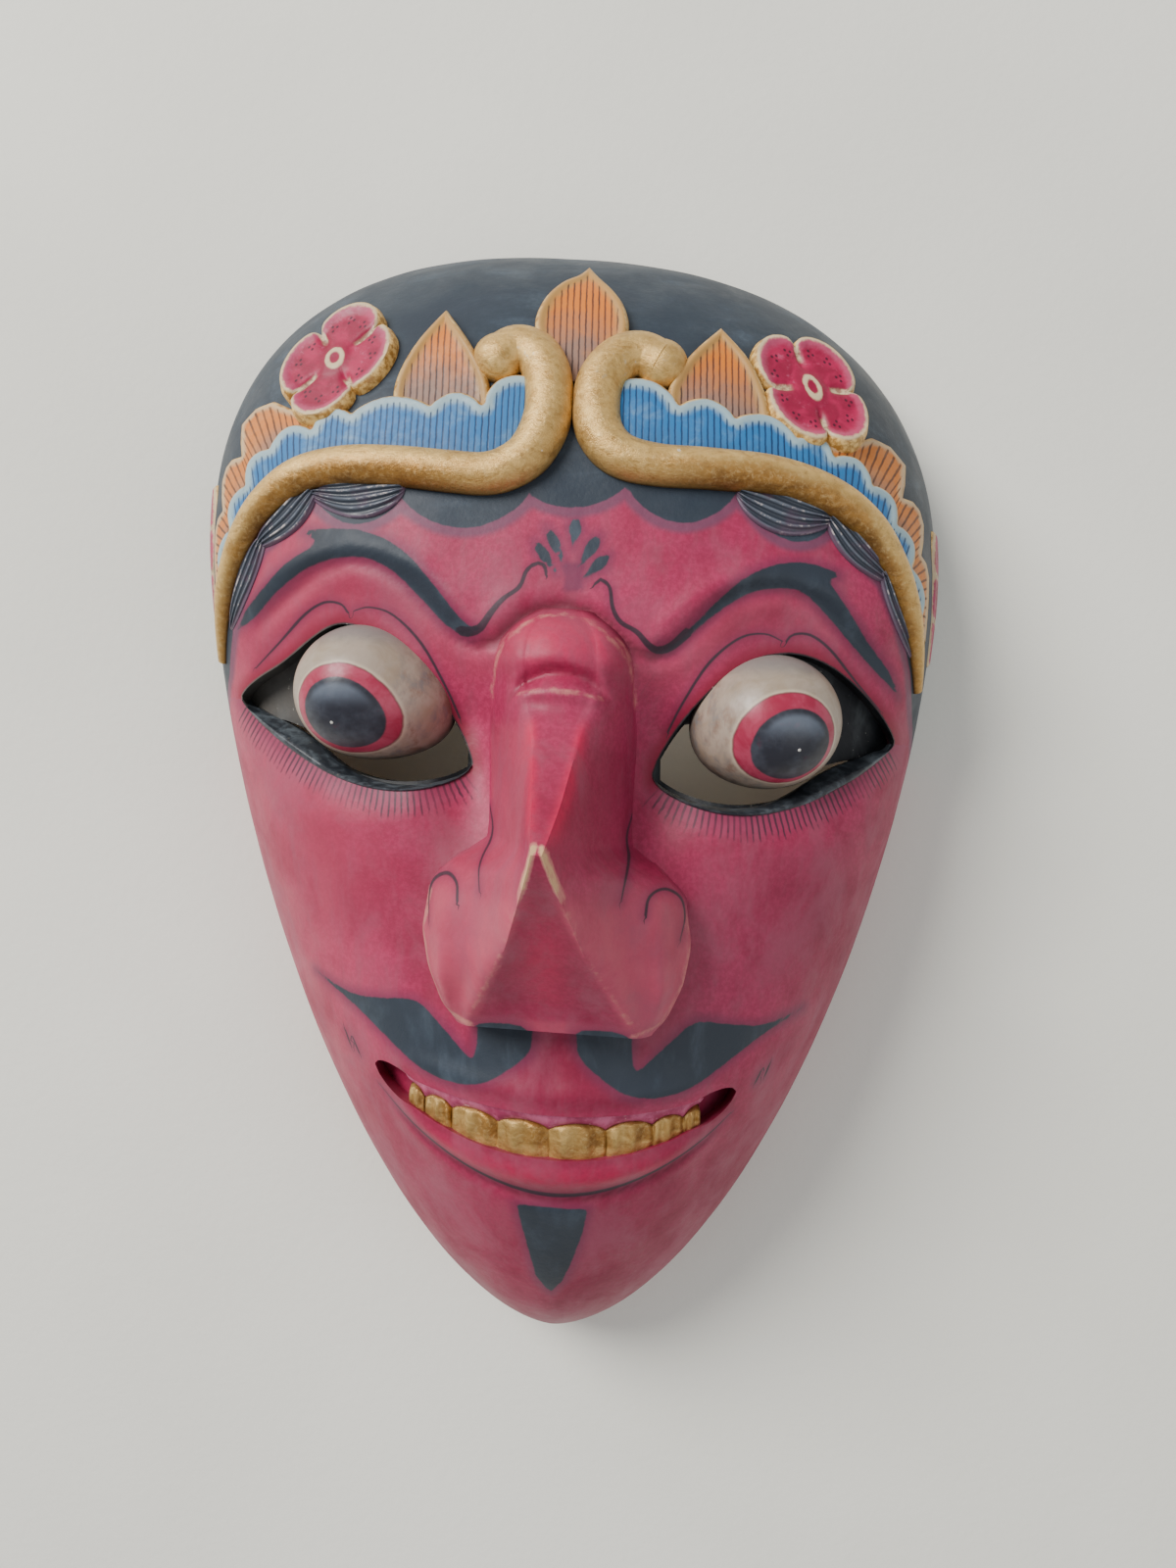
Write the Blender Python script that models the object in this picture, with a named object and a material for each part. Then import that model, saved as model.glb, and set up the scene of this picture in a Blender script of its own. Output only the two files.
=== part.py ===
"""Topeng mask: one block of carved wood, lying face up on its flat back rim.

Metres, +Z up. X runs across the face, +Y to the top of the head, and z = 0 is the rim.
"""
import math

import bmesh
import bpy
import numpy as np
from mathutils import Matrix, Vector

# Driving sizes of the mask
MASK_WIDTH = 0.140
MASK_LENGTH = 0.206
FACE_DEPTH = 0.052
NOSE_REACH = 0.088
WALL = 0.007
EYE_WALL = 0.010
EYE_RADIUS = 0.0116
EYE_RECESS = 0.005
EYE_SLOT = 0.0042
BAND_WIDTH = 0.0072
LEAF_RELIEF = 0.0026
LAPPET_RELIEF = 0.0014
LOCK_RELIEF = 0.0016
FLOWER_RADIUS = 0.0108
FLOWER_THICKNESS = 0.0024
MOUTH_DEPTH = 0.0034
TOOTH_RELIEF = 0.0024

# The carver's grid: places on the face are counted in steps of it
ACROSS = MASK_WIDTH / 140
ALONG = MASK_LENGTH / 206
UP = FACE_DEPTH / 52

# How far the hand carving runs out of true
SLANT = 0.0466
LEAN = 0.028
NOSE_LEAN = -0.035

# Places in grid steps: where the nose leaves the face, the wings' floor, the parts of the face
ROOT_LEVEL = 55
ROOT_HEIGHT = 60
WING_FLOOR = 57
EYE_PLACE = (33.3, 12.4, 42.5)
FLOWER_PLACE = (39.8, 67.0)
CURL_BULB = (13.2, 66.0)

# How deep a carved form is rooted in the wall, and how far a cut starts above the face
SINK = 0.64 * WALL
NOSE_EDGE_SINK = 0.66 * SINK
CUT_START = 0.012
TEETH = 9

# Fineness of the surfaces
SKIN_ROWS = 42
SKIN_COLUMNS = 30
HOLLOW_ROWS = 20
HOLLOW_COLUMNS = 16


def smooth_step(share):
    """Goes from 0 to 1 with level ends."""
    share = np.clip(share, 0, 1)
    return share * share * (3 - 2 * share)


def hill(x, y, centre, spread):
    """A soft round rise of height 1."""
    return np.exp(-((x - centre[0]) / spread[0]) ** 2 - ((y - centre[1]) / spread[1]) ** 2)


def rim_outline(count=400):
    """The back rim seen from the front, in grid steps: a broad brow and a long chin."""
    turn = np.linspace(0, math.pi, count)
    flat = 2 / 2.4
    top_x = 70 * np.sign(np.cos(turn)) * np.abs(np.cos(turn)) ** flat
    top_y = 40 + 60 * np.sin(turn) ** flat
    drop = 1 - np.linspace(1, 0, count) ** 2
    side_x = 70 * np.clip(1 - drop ** 1.52, 0, None) ** 0.58
    side_y = 40 - 146 * drop
    x = np.concatenate([top_x, -side_x[1:], side_x[-2:0:-1]])
    y = np.concatenate([top_y, side_y[1:], side_y[-2:0:-1]])
    return x, y


def rim_table():
    """Distance of the rim from the face's middle, by direction."""
    x, y = rim_outline()
    turn = np.arctan2(y, x)
    order = np.argsort(turn)
    turn = turn[order]
    reach = np.hypot(x, y)[order]
    turns = np.concatenate([turn - 2 * math.pi, turn, turn + 2 * math.pi])
    return turns, np.tile(reach, 3)


RIM_TURNS, RIM_REACH = rim_table()


def rim_reach(x, y):
    return np.interp(np.arctan2(y, x), RIM_TURNS, RIM_REACH)


def broad_face(x, y):
    """The face without its small carving: a full dome, a muzzle and two eye sockets."""
    share = np.clip(np.hypot(x, y) / rim_reach(x, y), 0, 1)
    inside = smooth_step((1 - share) / 0.3)
    side = np.abs(x)
    height = 52 * np.sqrt(1 - share ** 3)
    height = height + 5 * hill(x, y, (0, -50), (30, 20)) * inside
    across = (side - 34.5) / np.where(side > 34.5, 27, 24.5)
    upper = np.clip(1 - across ** 2 - ((y - 9) / 24.5) ** 2, 0, 1)
    lower = np.clip(1 - across ** 2 - ((y - 9) / 20) ** 2, 0, 1) ** 2
    height = height - 6.5 * np.where(y > 9, upper, lower) * inside
    height = height - 6.5 * hill(side, y, (14.5, 2), (7.5, 13))
    return height + 2.2 * hill(side, y, (33, 14), (15, 13)) * inside


def nose_profile(y):
    """Ridge height, half width of the ridge, half width of the nose, and side curve."""
    stations = [-38.6, -36.5, -31, -25, -17.5, -13, -10.5, -8, -4, 4, 8, 11, 14.5, 17, 21, 24, 25.8]
    rises = [0, 2, 7.5, 14, 21, 25.8, 28, 24, 16, 6, 3, 2, 0.4, 1.6, 0, -3, -7]
    tops = [12.4, 11.8, 8.8, 5.6, 3, 1.4, 0.7, 1.4, 2.2, 3.6, 4.4, 5.5, 6.3, 6.5, 6, 4, 2]
    sides = [14.6, 17, 19.6, 20.7, 19.6, 15, 11.7, 11.5, 11.6, 12, 12, 11.6, 11.2, 11.2, 10.2, 7.4, 4]
    curves = [1.8, 1.8, 1.6, 1.1, 0.7, 0.7, 0.75, 0.8, 0.85, 0.9, 0.9, 1, 1.5, 2, 2.2, 2.2, 2.2]
    reach = (NOSE_REACH / UP - ROOT_HEIGHT) / max(rises)
    ridge = ROOT_HEIGHT + np.interp(y, stations, rises) * np.where(y < 14, reach, 1)
    return (ridge, np.interp(y, stations, tops), np.interp(y, stations, sides),
            np.interp(y, stations, curves))


def nose_block(collection):
    """The long blade nose with its facet below, its wings, and the bump at its root."""
    y = np.array([-38.6, -36.5, -33.5, -30, -25, -21, -17.5, -14.5, -12.4, -10.5, -8, -4, 0, 4, 8,
                  11, 13, 14.5, 16, 17.5, 20, 22.5, 24.6, 25.8])
    ridge, top, side, curve = nose_profile(y)
    part = np.array([1.03, 0.94, 0.8, 0.55, 0.25])
    outer = top[:, None] + (side - top)[:, None] * part
    x = np.concatenate([outer, top[:, None], 0 * top[:, None]], 1)
    fall = np.concatenate([part[None, :] ** curve[:, None], np.zeros((len(y), 2))], 1)
    y = y[:, None] + 0 * x
    face = broad_face(x, y)
    wing = smooth_step((-11 - y) / 4)
    foot = face + wing * np.clip(WING_FLOOR - face, 0, None)
    height = ridge[:, None] - (ridge[:, None] - foot) * fall
    height[:, 0] = face[:, 0] - NOSE_EDGE_SINK / UP
    hollow = smooth_step((-12 - y[:, 0]) / 14) * smooth_step((y[:, 0] + 38.5) / 6)
    height[:, -1] -= 1.1 * hollow
    x = np.concatenate([-x, x[:, -2::-1]], 1)
    y = np.concatenate([y, y[:, -2::-1]], 1)
    height = np.concatenate([height, height[:, -2::-1]], 1)
    floor = broad_face(x, y) - SINK / UP
    return slab("nose", collection, to_metres(x, y, height), to_metres(x, y, floor))


def mouth_line(x, edge):
    """The smiling mouth: under the upper lip, on the lower lip, and below it."""
    share = np.clip(np.abs(x) / 30, 0, 1.1)
    if edge == "upper":
        return -53.2 + 3.8 * share ** 2.2
    if edge == "lower":
        return -60.5 + 9.5 * share ** 2.3
    return -68.2 + 14.5 * share ** 1.9


def face_height(x, y):
    """Height of the carved face over the rim, in grid steps."""
    x = np.asarray(x, float)
    y = np.asarray(y, float)
    face = broad_face(x, y)
    fade = smooth_step((31 - np.abs(x)) / 10)
    lip = np.exp(-((y - mouth_line(x, "lower") + 3.2) / 3.4) ** 2)
    crease = np.exp(-((y - mouth_line(x, "under")) / 1.8) ** 2)
    return face + (1.7 * lip - 1.1 * crease) * fade


def to_metres(x, y, height, extra=0.0):
    """Grid steps to metres, with the slant and lean of the hand carving."""
    x, y, height = np.broadcast_arrays(x, y, height)
    low = np.minimum(height, ROOT_LEVEL)
    high = np.maximum(height - ROOT_LEVEL, 0)
    place_x = (x + LEAN * low + NOSE_LEAN * high) * ACROSS
    place_y = (y - SLANT * x) * ALONG
    return np.stack([place_x, place_y, height * UP + extra], -1)


def on_disc(columns, rows):
    """Even places over the face: a square grid pressed into the rim's outline."""
    share_u = np.linspace(-1, 1, columns + 1)
    share_v = np.linspace(-1, 1, rows + 1)
    u, v = np.meshgrid(np.sign(share_u) * (0.78 * np.abs(share_u) + 0.22 * share_u ** 2), share_v)
    disc_x = u * np.sqrt(1 - v * v / 2)
    disc_y = v * np.sqrt(1 - u * u / 2)
    walk = np.linspace(0, 1, 400)
    steps = np.hypot(np.diff(walk) * 80, np.diff(52 * np.sqrt(1 - walk ** 3)))
    length = np.concatenate([[0], np.cumsum(steps)])
    share = np.interp(np.hypot(disc_x, disc_y), length / length[-1], walk)
    turn = np.arctan2(disc_y, disc_x)
    reach = np.interp(turn, RIM_TURNS, RIM_REACH) * share
    return np.cos(turn) * reach, np.sin(turn) * reach


def lattice(columns, rows, places):
    """An open sheet of quads whose points stand at the given places."""
    mesh = bmesh.new()
    bmesh.ops.create_grid(mesh, x_segments=columns, y_segments=rows, size=1)
    rank = mesh.verts.layers.int.new("rank")
    for number, vertex in enumerate(sorted(mesh.verts, key=lambda v: (v.co.y, v.co.x))):
        vertex[rank] = number
        vertex.co = places[number]
    return mesh


def finish(mesh, name, collection):
    """Turns a bmesh into a named object with its faces pointing out."""
    bmesh.ops.recalc_face_normals(mesh, faces=mesh.faces)
    data = bpy.data.meshes.new(name)
    mesh.to_mesh(data)
    mesh.free()
    made = bpy.data.objects.new(name, data)
    collection.objects.link(made)
    return made


def domed_block(name, collection, columns, rows, height, inset=0.0, drop=0.0):
    """A dome on the rim's outline with a flat bottom, or the hollow inside it."""
    x, y = on_disc(columns, rows)
    reach = np.maximum(rim_reach(x, y), 1) * ACROSS
    places = to_metres(x, y, height(x, y), -drop)
    places[..., :2] *= (1 - inset / reach)[..., None]
    mesh = lattice(columns, rows, places.reshape(-1, 3))
    edges = [edge for edge in mesh.edges if edge.is_boundary]
    bmesh.ops.contextual_create(mesh, geom=edges)
    return finish(mesh, name, collection)


def slab(name, collection, top, foot):
    """A closed solid between two sheets of points with the same rows and columns."""
    rows, columns = top.shape[:2]
    top = top.reshape(-1, 3)
    foot = foot.reshape(-1, 3)
    mesh = lattice(columns - 1, rows - 1, top)
    rank = mesh.verts.layers.int["rank"]
    made = bmesh.ops.extrude_face_region(mesh, geom=mesh.faces[:])
    for item in made["geom"]:
        if isinstance(item, bmesh.types.BMVert):
            item.co = foot[item[rank]]
    return finish(mesh, name, collection)


def relief(name, collection, x, y, rise, sink=SINK, base=face_height):
    """A slab that follows the face, proud of it by rise, with its foot sunk below it."""
    level = base(x, y)
    return slab(name, collection, to_metres(x, y, level, rise), to_metres(x, y, level, -sink))


def between(first, second, count):
    """Rows of points from one outline to another."""
    first = np.array(first, float)
    second = np.array(second, float)
    share = np.linspace(0, 1, count)[:, None, None]
    rows = first + (second - first) * share
    return rows[..., 0], rows[..., 1]


def smooth_path(places, steps):
    """Points along a smooth curve through hand-chosen places."""
    places = np.array(places, float)
    padded = np.concatenate([[2 * places[0] - places[1]], places, [2 * places[-1] - places[-2]]])
    path = []
    for number in range(1, len(padded) - 2):
        before, first, second, after = padded[number - 1:number + 3]
        for share in np.arange(steps) / steps:
            bend = (2 * before - 5 * first + 4 * second - after) * share ** 2
            twist = (3 * first - before - 3 * second + after) * share ** 3
            path.append(first + 0.5 * ((second - before) * share + bend + twist))
    path.append(places[-1])
    return np.array(path)


def scalloped(cusps, bulge, points=4):
    """An edge of arcs from cusp to cusp, bulging to the left of the way."""
    cusps = np.array(cusps, float)
    edge = []
    for start, end in zip(cusps[:-1], cusps[1:]):
        way = end - start
        across = np.array([-way[1], way[0]]) / np.hypot(*way)
        for share in np.arange(points) / points:
            edge.append(start + way * share + across * bulge * math.sin(math.pi * share))
    edge.append(cusps[-1])
    return np.array(edge)


def lid_line(part, share):
    """Upper or lower lid line of the almond eye, from the nose to the temple."""
    x = 14.8 + 42.2 * share
    chord = 1.0 + 8.8 * share
    if part == "upper":
        y = chord + 0.3 + 16.5 * np.sin(math.pi * share ** 0.9) ** 0.85
    else:
        y = chord - 0.3 - 8.2 * np.sin(math.pi * share ** 0.85) ** 0.8
    return np.stack([x, y], -1)


def eye_recess(side, collection):
    """Cutter for the almond eye opening, down to the floor that carries the eyeball."""
    share = np.linspace(0, 1, 13)
    x, y = between(lid_line("lower", share), lid_line("upper", share), 3)
    return relief("eye_recess", collection, side * x, y, CUT_START, EYE_RECESS, broad_face)


def eye_slot(side, collection):
    """Cutter for the slot to look through, under the eyeball and beside the nose."""
    share = np.linspace(0.065, 0.855, 11)
    lower = lid_line("lower", share) + (0, 1.3)
    open_height = EYE_SLOT / ALONG + 8 * np.exp(-((share - 0.16) / 0.14) ** 2)
    upper = lower + np.stack([0 * share, open_height], -1)
    upper[:, 1] = np.minimum(upper[:, 1], lid_line("upper", share)[:, 1] - 0.8)
    x, y = between(lower, upper, 3)
    return relief("eye_slot", collection, side * x, y, 0.8 * CUT_START, 2.2 * EYE_WALL, broad_face)


def eyeball(side, collection):
    """A bulging eyeball, carved in one with the upper lid."""
    mesh = bmesh.new()
    bmesh.ops.create_uvsphere(mesh, u_segments=20, v_segments=13, radius=EYE_RADIUS)
    middle = to_metres(side * EYE_PLACE[0], EYE_PLACE[1], EYE_PLACE[2])
    for vertex in mesh.verts:
        if vertex.co.z < 0:
            vertex.co.z *= 0.55
        vertex.co.y *= 0.95
        vertex.co += Vector(middle)
    return finish(mesh, "eyeball", collection)


def mouth_cutter(collection):
    """Cutter for the open mouth behind the upper lip, deepest in its corners."""
    x = np.linspace(-30, 30, 24)
    lower = np.stack([x, mouth_line(x, "lower") - 0.15], -1)
    upper = np.stack([x, mouth_line(x, "upper") + 0.15], -1)
    x, y = between(lower, upper, 4)
    deep = 1 + 0.7 * smooth_step((np.abs(x) - 21) / 5)
    level = face_height(x, y)
    top = to_metres(x, y, level, 0.5 * CUT_START)
    foot = to_metres(x, y, level, 0)
    foot[..., 2] -= MOUTH_DEPTH * deep
    return slab("mouth", collection, top, foot)


def teeth_row(collection):
    """The row of rounded teeth set back in the mouth."""
    columns = 3 * TEETH + 1
    x = np.linspace(-23.5, 23.5, columns)
    lower = np.stack([x, mouth_line(x, "lower") - 1.2], -1)
    scallop = 1.1 * np.abs(np.sin(math.pi * np.arange(columns) / 3))
    upper = np.stack([x, mouth_line(x, "upper") - 1.6 + scallop], -1)
    x, y = between(lower, upper, 3)
    round_tooth = np.abs(np.sin(math.pi * np.arange(columns) / 3))
    round_edge = np.array([0.9, 1.0, 0.3])
    level = face_height(x, y) * UP - MOUTH_DEPTH
    rise = TOOTH_RELIEF * (0.3 + 0.7 * round_tooth[None, :]) * round_edge[:, None]
    top = to_metres(x, y, (level + rise) / UP)
    foot = to_metres(x, y, (level - 0.27 * SINK) / UP)
    return slab("teeth", collection, top, foot)


BAND_PATH = [(12.2, 69.0), (9.0, 69.6), (5.9, 67.6), (4.2, 63.6), (3.9, 58.2), (5.8, 53.0),
             (10.8, 50.0), (18.5, 49.3), (28.5, 50.2), (37.3, 49.7), (46.2, 46.6), (53.4, 39.7),
             (58.5, 31.8), (61.8, 24.0), (63.4, 17.0), (64.0, 10.0)]


def gold_band(side, collection):
    """A tapering roll from its curl over the brow to the ear."""
    path = smooth_path(BAND_PATH, 2)
    curve = bpy.data.curves.new("gold_band", "CURVE")
    curve.dimensions = "3D"
    curve.bevel_depth = BAND_WIDTH / 2
    curve.bevel_resolution = 2
    curve.use_fill_caps = True
    spline = curve.splines.new("POLY")
    spline.points.add(len(path) - 1)
    places = to_metres(side * path[:, 0], path[:, 1], face_height(path[:, 0], path[:, 1]), 0.0002)
    for number, (point, place) in enumerate(zip(spline.points, places)):
        along = number / (len(path) - 1)
        point.co = (*place, 1)
        point.radius = np.interp(along, [0, 0.12, 0.4, 0.7, 0.9, 1], [1, 1, 0.95, 0.85, 0.62, 0.3])
    made = bpy.data.objects.new("gold_band_curve", curve)
    collection.objects.link(made)
    graph = bpy.context.evaluated_depsgraph_get()
    data = bpy.data.meshes.new_from_object(made.evaluated_get(graph))
    bpy.data.objects.remove(made)
    mesh = bmesh.new()
    mesh.from_mesh(data)
    bpy.data.meshes.remove(data)
    bmesh.ops.remove_doubles(mesh, verts=mesh.verts, dist=0.00001)
    return finish(mesh, "gold_band", collection)


def curl_bulb(side, collection):
    """The round end of the band's curl."""
    mesh = bmesh.new()
    bmesh.ops.create_uvsphere(mesh, u_segments=12, v_segments=8, radius=BAND_WIDTH * 0.54)
    middle = Vector(to_metres(side * CURL_BULB[0], CURL_BULB[1], face_height(*CURL_BULB), -0.0002))
    bmesh.ops.translate(mesh, verts=mesh.verts, vec=middle)
    return finish(mesh, "curl_bulb", collection)


LAPPET_CUSPS = [(9.0, 58.5), (20.0, 59.8), (31.4, 61.3), (44.5, 58.4), (52.8, 53.4), (57.4, 47.0),
                (60.6, 39.5), (63.0, 29.5)]
TEMPLE_CUSPS = [(45.0, 58.2), (51.6, 59.6), (57.6, 53.8), (61.4, 46.6), (63.4, 38.0), (64.2, 30.5)]


def lappets(side, collection):
    """The scalloped cloth-like border that stands behind the gold band."""
    outer = scalloped(LAPPET_CUSPS, 1.6)
    share = np.linspace(0, 1, len(outer))
    inner = smooth_path(BAND_PATH[5:13], 4)
    walk = np.linspace(0, 1, len(inner))
    inner = np.stack([np.interp(share, walk, inner[:, 0]), np.interp(share, walk, inner[:, 1])], -1)
    x, y = between(inner, outer, 3)
    return relief("lappets", collection, side * x, y, LAPPET_RELIEF)


def temple_border(side, collection):
    """The second, lower row of scallops outside the lappets, at the temple."""
    outer = scalloped(TEMPLE_CUSPS, 1.2)
    share = np.linspace(0, 1, len(outer))
    inner = smooth_path(LAPPET_CUSPS[3:], 4) - (2.0, 1.2)
    walk = np.linspace(0, 1, len(inner))
    inner = np.stack([np.interp(share, walk, inner[:, 0]), np.interp(share, walk, inner[:, 1])], -1)
    x, y = between(inner, outer, 2)
    return relief("temple_border", collection, side * x, y, 0.6 * LAPPET_RELIEF, 0.8 * SINK)


def leaf(name, collection, base_left, base_right, tip, belly, start=1.0):
    """A pointed leaf between its base and its tip, with a swelling and a hollow edge."""
    base_left = np.array(base_left, float)
    base_right = np.array(base_right, float)
    along = np.array([0, 0.18, 0.38, 0.58, 0.8, 1.0])
    middle = (base_left + base_right) / 2
    spine = middle + along[:, None] * (np.array(tip, float) - middle)
    width = np.interp(along, [0, belly, 0.58, 0.8, 1], [start, 1, 0.62, 0.28, 0.04])
    across = (base_right - base_left) / 2
    places = spine[:, None, :] + across * width[:, None, None] * np.linspace(-1, 1, 3)[None, :, None]
    x = places[..., 0]
    y = places[..., 1]
    rise = LEAF_RELIEF * np.interp(along, [0, 1], [0.7, 1.3])[:, None] * np.ones(3)
    return relief(name, collection, x, y, rise, 1.1 * SINK)


def flower(side, collection):
    """A four-lobed flower: a nearly level disc that stands out of the curve of the head."""
    mesh = bmesh.new()
    count = 32
    bmesh.ops.create_circle(mesh, cap_ends=True, cap_tris=True, segments=count, radius=1)
    foot = FLOWER_THICKNESS + 0.8 * SINK
    for vertex in mesh.verts:
        turn = math.atan2(vertex.co.y, vertex.co.x)
        lobe = 0.72 + 0.28 * abs(math.sin(2 * turn)) ** 0.6
        on_edge = vertex.co.length > 0.5
        vertex.co *= FLOWER_RADIUS * lobe
        vertex.co.z = 0 if on_edge else 0.0006
    made = bmesh.ops.extrude_face_region(mesh, geom=mesh.faces[:])
    for item in made["geom"]:
        if isinstance(item, bmesh.types.BMVert):
            item.co.z = -foot
    tilt = Vector((side * 0.26, 0.42, 1)).normalized().to_track_quat("Z", "Y").to_matrix()
    turned = Matrix.Rotation(side * -0.25 + math.pi / 4, 3, "Z")
    x, y = FLOWER_PLACE
    middle = Vector(to_metres(side * x, y, face_height(x, y), FLOWER_THICKNESS))
    for vertex in mesh.verts:
        vertex.co = tilt @ (turned @ vertex.co) + middle
    return finish(mesh, "flower", collection)


LOCKS = [((26.5, 45.6), (43.6, 44.0), 5.2), ((43.0, 43.6), (54.4, 36.2), 3.6),
         ((52.0, 38.2), (59.0, 25.2), 1.8)]


def lock_of_hair(number, side, collection):
    """A crescent lock under the band, combed into ridges."""
    start, end, belly = LOCKS[number]
    start = np.array(start)
    end = np.array(end)
    share = np.linspace(0, 1, 9)[:, None]
    way = end - start
    across = np.array([way[1], -way[0]]) / np.hypot(*way)
    chord = start + way * share
    upper = chord - across * 2.0 * np.sin(math.pi * share) ** 0.7
    lower = chord + across * (0.25 + belly * np.sin(math.pi * share) ** 0.75)
    x, y = between(upper, lower, 6)
    comb = np.array([0.8, 1.0, 0.45, 1.0, 0.4, 0.8])
    return relief("lock", collection, side * x, y, LOCK_RELIEF * comb[:, None] * np.ones(9),
                  (0.85 + 0.1 * number) * SINK)


def carving_tools(collection):
    """Everything that is cut away, in order."""
    cutters = [domed_block("hollow", collection, HOLLOW_COLUMNS, HOLLOW_ROWS, hollow_height,
                           WALL, WALL)]
    for side in (-1, 1):
        cutters.append(eye_recess(side, collection))
        cutters.append(eye_slot(side, collection))
    cutters.append(mouth_cutter(collection))
    return cutters


def carved_reliefs(collection):
    """Everything that stands out of the face, in order."""
    raised = [nose_block(collection), teeth_row(collection)]
    for side in (-1, 1):
        raised.append(eyeball(side, collection))
        raised.append(gold_band(side, collection))
        raised.append(curl_bulb(side, collection))
    for side in (-1, 1):
        raised.append(temple_border(side, collection))
        raised.append(lappets(side, collection))
        raised.append(leaf("side_leaf", collection, (side * 13.2, 61.0), (side * 31.2, 61.8),
                           (side * 23.0, 76.0), 0.1))
        raised.append(flower(side, collection))
        for number in range(len(LOCKS)):
            raised.append(lock_of_hair(number, side, collection))
    raised.append(leaf("crown_leaf", collection, (-8.0, 66.0), (8.0, 66.0), (0.0, 87.0), 0.38, 0.3))
    return raised


def hollow_height(x, y):
    """The hollow's roof: the broad face without its nose, thicker behind the eyes."""
    thicker = (EYE_WALL - WALL) / UP
    return broad_face(x, y) - thicker * hill(np.abs(x), y, (33, 10), (26, 20))


def carve(target, tools, operation):
    """Cuts away or joins on each tool in turn."""
    for tool in tools.objects:
        modifier = target.modifiers.new(tool.name, "BOOLEAN")
        modifier.operation = operation
        modifier.solver = "MANIFOLD"
        modifier.object = tool
        graph = bpy.context.evaluated_depsgraph_get()
        data = bpy.data.meshes.new_from_object(target.evaluated_get(graph))
        old = target.data
        target.modifiers.remove(modifier)
        target.data = data
        bpy.data.meshes.remove(old)


def painted_wood():
    """Rose paint on carved wood."""
    made = bpy.data.materials.new("painted_wood")
    made.use_nodes = True
    shader = made.node_tree.nodes["Principled BSDF"]
    shader.inputs["Base Color"].default_value = (0.52, 0.08, 0.16, 1)
    shader.inputs["Roughness"].default_value = 0.45
    shader.inputs["Metallic"].default_value = 0
    return made


def centre_on_rim(target):
    """Moves the mask over the middle of its own box."""
    places = np.array([vertex.co for vertex in target.data.vertices])
    middle = (places.min(0) + places.max(0)) / 2
    for vertex in target.data.vertices:
        vertex.co.x -= middle[0]
        vertex.co.y -= middle[1]


def new_collection(name):
    made = bpy.data.collections.new(name)
    bpy.context.scene.collection.children.link(made)
    return made


def main():
    for old in list(bpy.data.objects):
        bpy.data.objects.remove(old, do_unlink=True)
    mask = domed_block("carved_mask", new_collection("topeng_mask"), SKIN_COLUMNS, SKIN_ROWS,
                       face_height)
    cutters = new_collection("cut_away")
    carving_tools(cutters)
    raised = new_collection("left_standing")
    carved_reliefs(raised)
    for tool in list(cutters.objects) + list(raised.objects):
        tool.hide_render = True
        tool.display_type = "WIRE"
    carve(mask, cutters, "DIFFERENCE")
    carve(mask, raised, "UNION")
    centre_on_rim(mask)
    mask.data.materials.clear()
    mask.data.materials.append(painted_wood())
    mask.data.shade_smooth()
    mask.data.set_sharp_from_angle(angle=math.radians(40))


main()
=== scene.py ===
import math

import bmesh
import bpy
import numpy as np
from mathutils import Matrix, Vector


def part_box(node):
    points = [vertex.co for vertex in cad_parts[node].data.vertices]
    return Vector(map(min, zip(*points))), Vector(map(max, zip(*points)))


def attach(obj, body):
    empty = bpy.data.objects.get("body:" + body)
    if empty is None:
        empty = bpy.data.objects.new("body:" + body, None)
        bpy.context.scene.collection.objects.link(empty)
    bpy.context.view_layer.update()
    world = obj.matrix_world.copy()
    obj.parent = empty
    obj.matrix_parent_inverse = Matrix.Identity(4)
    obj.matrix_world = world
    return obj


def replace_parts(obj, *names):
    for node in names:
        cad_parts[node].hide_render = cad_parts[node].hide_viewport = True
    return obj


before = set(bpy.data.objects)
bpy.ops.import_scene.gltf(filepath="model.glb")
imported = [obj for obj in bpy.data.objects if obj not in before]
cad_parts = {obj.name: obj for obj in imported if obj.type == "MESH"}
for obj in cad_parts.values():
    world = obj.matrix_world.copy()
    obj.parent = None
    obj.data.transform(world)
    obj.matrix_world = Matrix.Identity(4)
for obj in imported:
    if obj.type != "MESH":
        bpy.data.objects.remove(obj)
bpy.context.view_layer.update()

BOX_LOW, BOX_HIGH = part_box("carved_mask")

# Sizes of the mask in steps
HALF_WIDTH = 70
STEP = 0.9994 * (BOX_HIGH.x - BOX_LOW.x) / (2 * HALF_WIDTH)
DOME = 52
NOSE_TIP = 88
WALL = 7
EYE_WALL = 10
EYE_RECESS = 5
BAND_RADIUS = 3.7

# How deep an applied piece is sunk in the face under it
SINK = 3.2

# Length of the drawn lower lid, where the lashes end
LID_LENGTH = 47.4

# Carving of the face: rises and depths against the plain dome
MUZZLE_RISE = 5
SOCKET_DEPTH = 6.5
NOSE_SIDE_DEPTH = 6.5
LID_RISE = 2.2
LOWER_LIP_RISE = 1.7
UPPER_LIP_RISE = 0.8
LIP_CREASE_DEPTH = 1.3
PHILTRUM_DEPTH = 0.8
BROW_RISE = 0.5
BROW_CUT_DEPTH = 0.6
HEWN_DEPTH = 0.10
ROOT_HEIGHT = 60
WING_FLOOR = 57

# How far the hand carving runs out of true: steps per step of width or height
SLANT = 0.0466
LEAN = 0.028
NOSE_LEAN = -0.035
ROOT_LEVEL = 55

# Fineness of the skin and the hollow
SKIN_COLUMNS = 236
SKIN_ROWS = 330
HOLLOW_COLUMNS = 48
HOLLOW_ROWS = 60

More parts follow.
